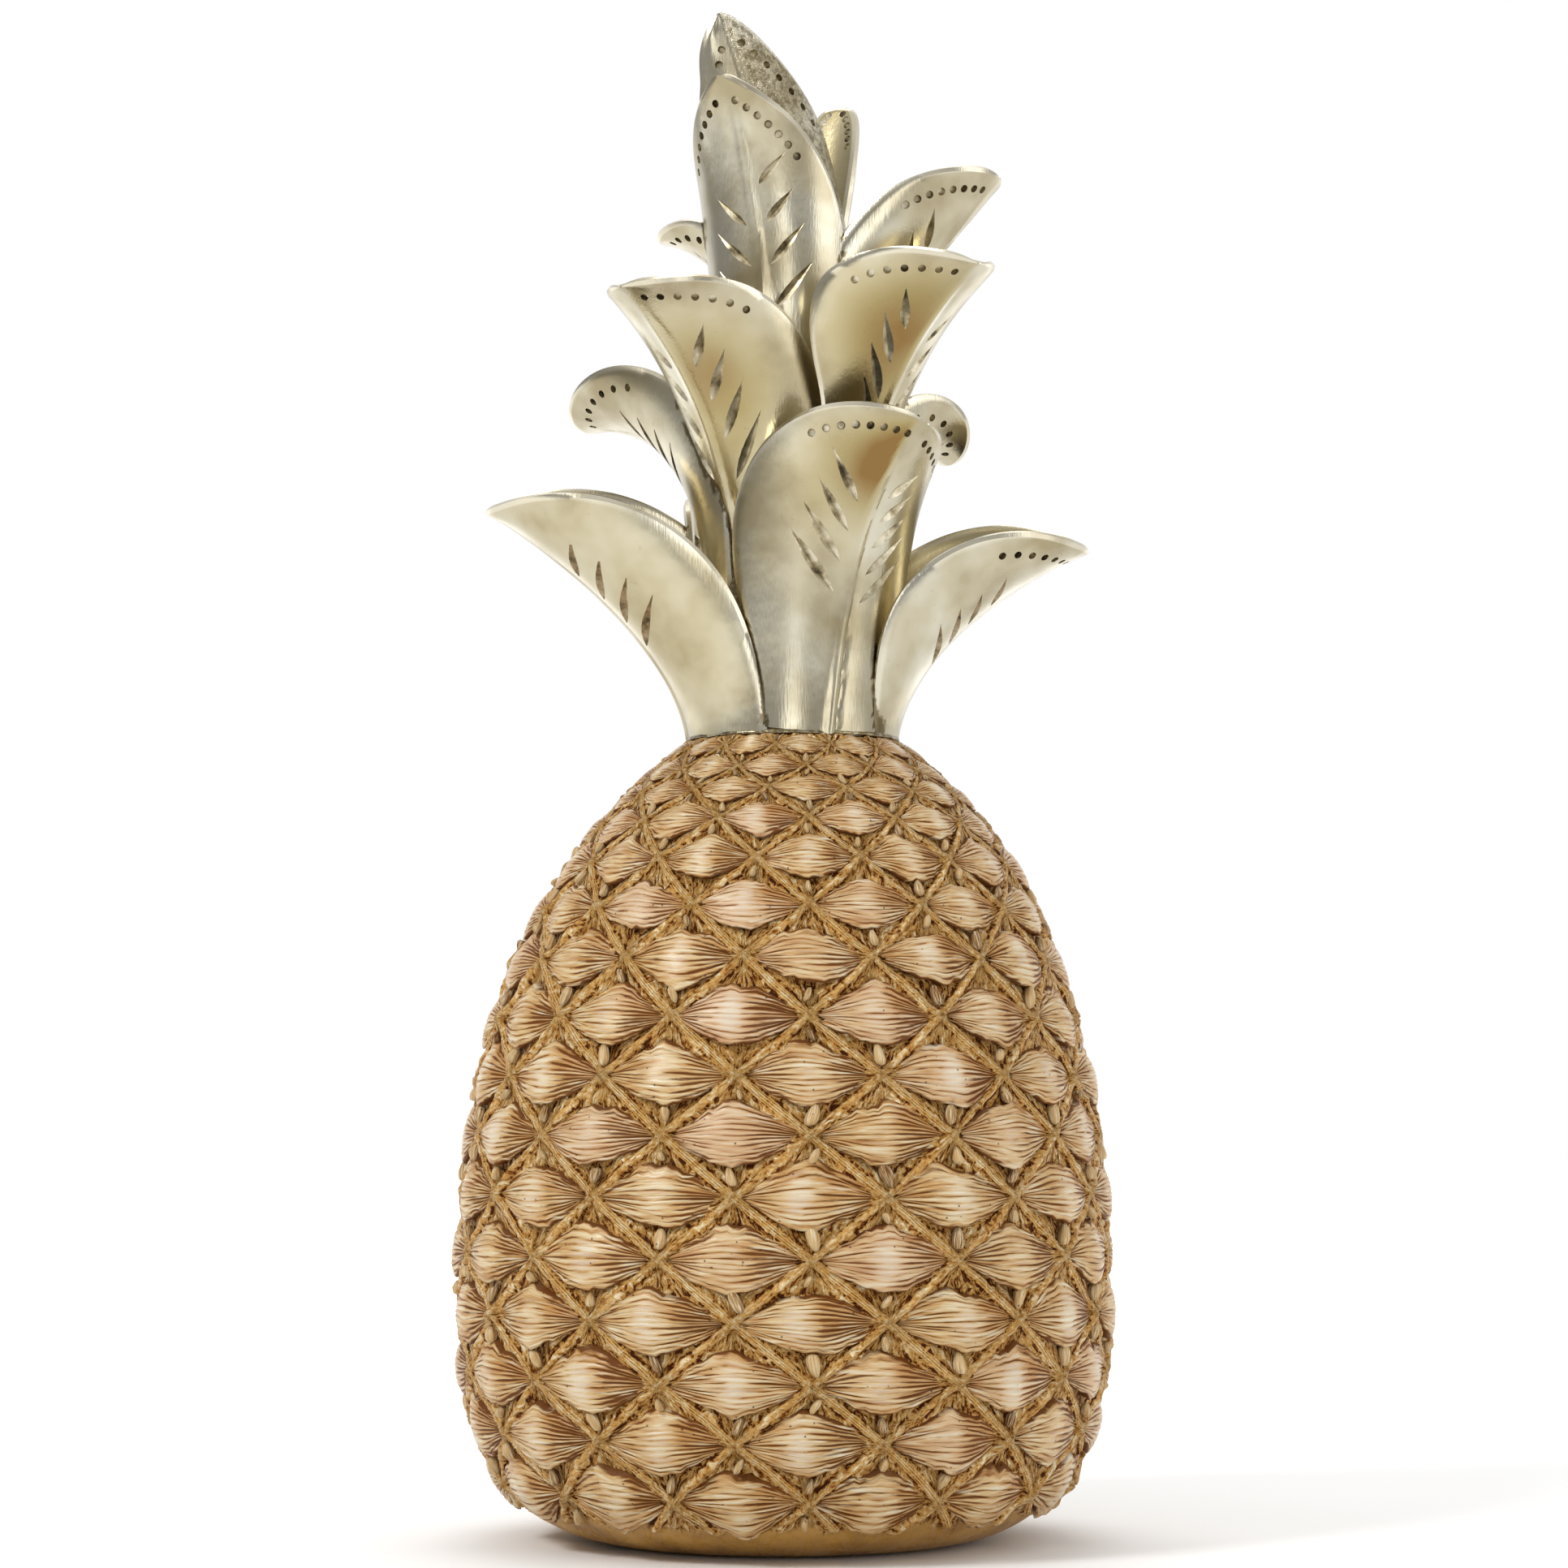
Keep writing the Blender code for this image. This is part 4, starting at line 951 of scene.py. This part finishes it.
for name, leaf in LEAVES.items():
    leaf.update(CARVING | OWN_CARVING.get(name, {}))
shells = {name: leaf_shell(name, leaf) for name, leaf in LEAVES.items()}
for name, leaf in LEAVES.items():
    points, quads, marks = shells[name]
    others = [shells[other][:2] for other in LEAVES if other != name]
    starts = np.cumsum([0] + [len(other[0]) for other in others])
    neighbours = BVHTree.FromPolygons(
        np.concatenate([other[0] for other in others]).tolist(),
        np.concatenate([other[1] + start for other, start in zip(others, starts)]).tolist())
    gaps = [neighbours.find_nearest(point, SEAM_REACH)[3] for point in points.tolist()]
    gaps = np.array([SEAM_REACH if gap is None else gap for gap in gaps])
    # Near the next leaf: the wash, and painted shade in the seam between the leaves
    marks["seam"] = ease(SEAM_REACH, 0, gaps)
    piece = add_piece(f"leaf_{name}", points, quads, silver, "crown", marks=marks)
    piece.data.materials.append(cut_silver)
    cuts, cut_faces = gouge_cuts(leaf)
    dots, dot_faces = punched_dots(leaf)
    faces = cut_faces + [tuple(k + len(cuts) for k in face) for face in dot_faces]
    mesh = bpy.data.meshes.new("gouge")
    mesh.from_pydata((np.concatenate((cuts, dots)) * MM).tolist(), [], faces)
    for material in (silver, cut_silver):
        mesh.materials.append(material)
    mesh.polygons.foreach_set("material_index", [1] * len(mesh.polygons))
    gouge = bpy.data.objects.new("gouge", mesh)
    bm = bmesh.new()
    bm.from_mesh(mesh)
    bmesh.ops.recalc_face_normals(bm, faces=bm.faces)
    bm.to_mesh(mesh)
    bm.free()
    bpy.context.scene.collection.objects.link(gouge)
    carving = piece.modifiers.new("carving", "BOOLEAN")
    carving.operation = "DIFFERENCE"
    carving.solver = "MANIFOLD"
    carving.object = gouge
    graph = bpy.context.evaluated_depsgraph_get()
    carved = bpy.data.meshes.new_from_object(piece.evaluated_get(graph))
    piece.modifiers.clear()
    carved.name = piece.name
    # New points round the cuts take the marks of the nearest point of the uncut leaf
    uncut = KDTree(len(points))
    for i, point in enumerate(points * MM):
        uncut.insert(point, i)
    uncut.balance()
    nearest = [uncut.find(vertex.co)[1] for vertex in carved.vertices]
    for key, values in marks.items():
        carved.attributes[key].data.foreach_set("value", values.ravel()[nearest])
    piece.data = carved
    carved.shade_smooth()
    carved.set_sharp_from_angle(angle=math.radians(SHARP_EDGE))
    bpy.data.objects.remove(gouge, do_unlink=True)

# Studio
# A plain pale floor, with the world white behind it as the backdrop, soft lamps above and to the
# left as in a catalogue photograph, and the camera at table height, looking slightly upwards.
FLOOR_HALF = 6.0               # m, from the middle to an edge
ROOM_LIGHT = 0.30
OVERHEAD_LIGHT = 0.50
SIDE_LIGHT = 0.30
FLOOR_GLOW = 0.75
WHITE = (1, 1, 1, 1)
stage_paint, tree, shader = new_surface("matt_white_studio_paint")
position = node(tree, "TexCoord").outputs["Object"]
grain = node(tree, "TexNoise", {"Vector": position, "Scale": 3.0})
paint = node(tree, "ValToRGB", {0: grain}, stops=((0.3, "#F4F4F3"), (0.7, "#F8F8F7")))
# The floor is lit from behind, so it glows white some way back from the object
back_place = node(tree, "SeparateXYZ", {0: position})
glow = node(tree, "MapRange", {0: back_place.outputs["Y"], 1: 0.3, 2: 1.4, 3: 0, 4: FLOOR_GLOW},
            interpolation_type="SMOOTHSTEP")
connect(shader, {"Base Color": paint, "Roughness": 0.9, "Emission Strength": glow,
                 "Emission Color": WHITE})
mesh = bpy.data.meshes.new("floor")
corners = [(x * FLOOR_HALF, y * FLOOR_HALF, 0) for x, y in ((-1, -1), (1, -1), (1, 1), (-1, 1))]
mesh.from_pydata(corners, [], [(0, 1, 2, 3)])
mesh.materials.append(stage_paint)
floor = bpy.data.objects.new("floor", mesh)
bpy.context.scene.collection.objects.link(floor)

world = bpy.data.worlds.new("studio")
world.use_nodes = True
bpy.context.scene.world = world
# White towards the backdrop, bright overhead and on the right, dimmer in the room behind the camera
tree = world.node_tree
look = node(tree, "TexCoord")
direction = node(tree, "SeparateXYZ", {0: look.outputs["Generated"]})
backdrop = node(tree, "MapRange", {0: direction.outputs["Y"], 1: 0.45, 2: 0.92, 3: ROOM_LIGHT,
                                   4: 1.0}, interpolation_type="SMOOTHSTEP")
overhead = node(tree, "MapRange", {0: direction.outputs["Z"], 1: 0.30, 2: 0.90, 3: 0,
                                   4: OVERHEAD_LIGHT}, interpolation_type="SMOOTHSTEP")
beside = node(tree, "MapRange", {0: direction.outputs["X"], 1: 0.25, 2: 0.85, 3: 0, 4: SIDE_LIGHT},
              interpolation_type="SMOOTHSTEP")
above = node(tree, "Math", {0: backdrop, 1: overhead}, operation="ADD")
strength = node(tree, "Math", {0: above, 1: beside}, operation="ADD")
connect(tree.nodes["Background"], {"Strength": strength, "Color": WHITE})

LAMP_AIM = (0.0, 0.0, 0.2)     # m
# Place and size of each lamp in m, and its watts
LAMPS = {"key": ((-1.4, -1.1, 1.5), 0.6, 24), "front": ((-0.1, -2.2, 0.55), 0.8, 3.5),
         "fill": ((1.8, -1.0, 0.8), 1.6, 9), "top": ((0.0, 0.6, 1.9), 1.2, 11)}
for name, (place, size, watts) in LAMPS.items():
    lamp = bpy.data.lights.new(name, "AREA")
    lamp.energy = watts
    lamp.shape = "DISK"
    lamp.size = size
    item = bpy.data.objects.new(name, lamp)
    item.location = place
    direction = np.array(LAMP_AIM) - place
    item.rotation_euler = (math.atan2(math.hypot(direction[0], direction[1]), -direction[2]), 0,
                           math.atan2(direction[1], direction[0]) - math.pi / 2)
    bpy.context.scene.collection.objects.link(item)

# Table height, a little over a metre away, tilted slightly up
SENSOR_WIDTH = 36
FOCAL_LENGTH = 93.17
CAMERA_PLACE = (0, -1.1378, 0.1237)  # m
CAMERA_TILT = 94.32            # degrees from straight down
camera = bpy.data.cameras.new("camera")
camera.sensor_width = SENSOR_WIDTH
camera.lens = FOCAL_LENGTH
viewer = bpy.data.objects.new("camera", camera)
viewer.location = CAMERA_PLACE
viewer.rotation_euler = (math.radians(CAMERA_TILT), 0, 0)
bpy.context.scene.collection.objects.link(viewer)
bpy.context.scene.camera = viewer
bpy.context.scene.view_settings.view_transform = "Standard"
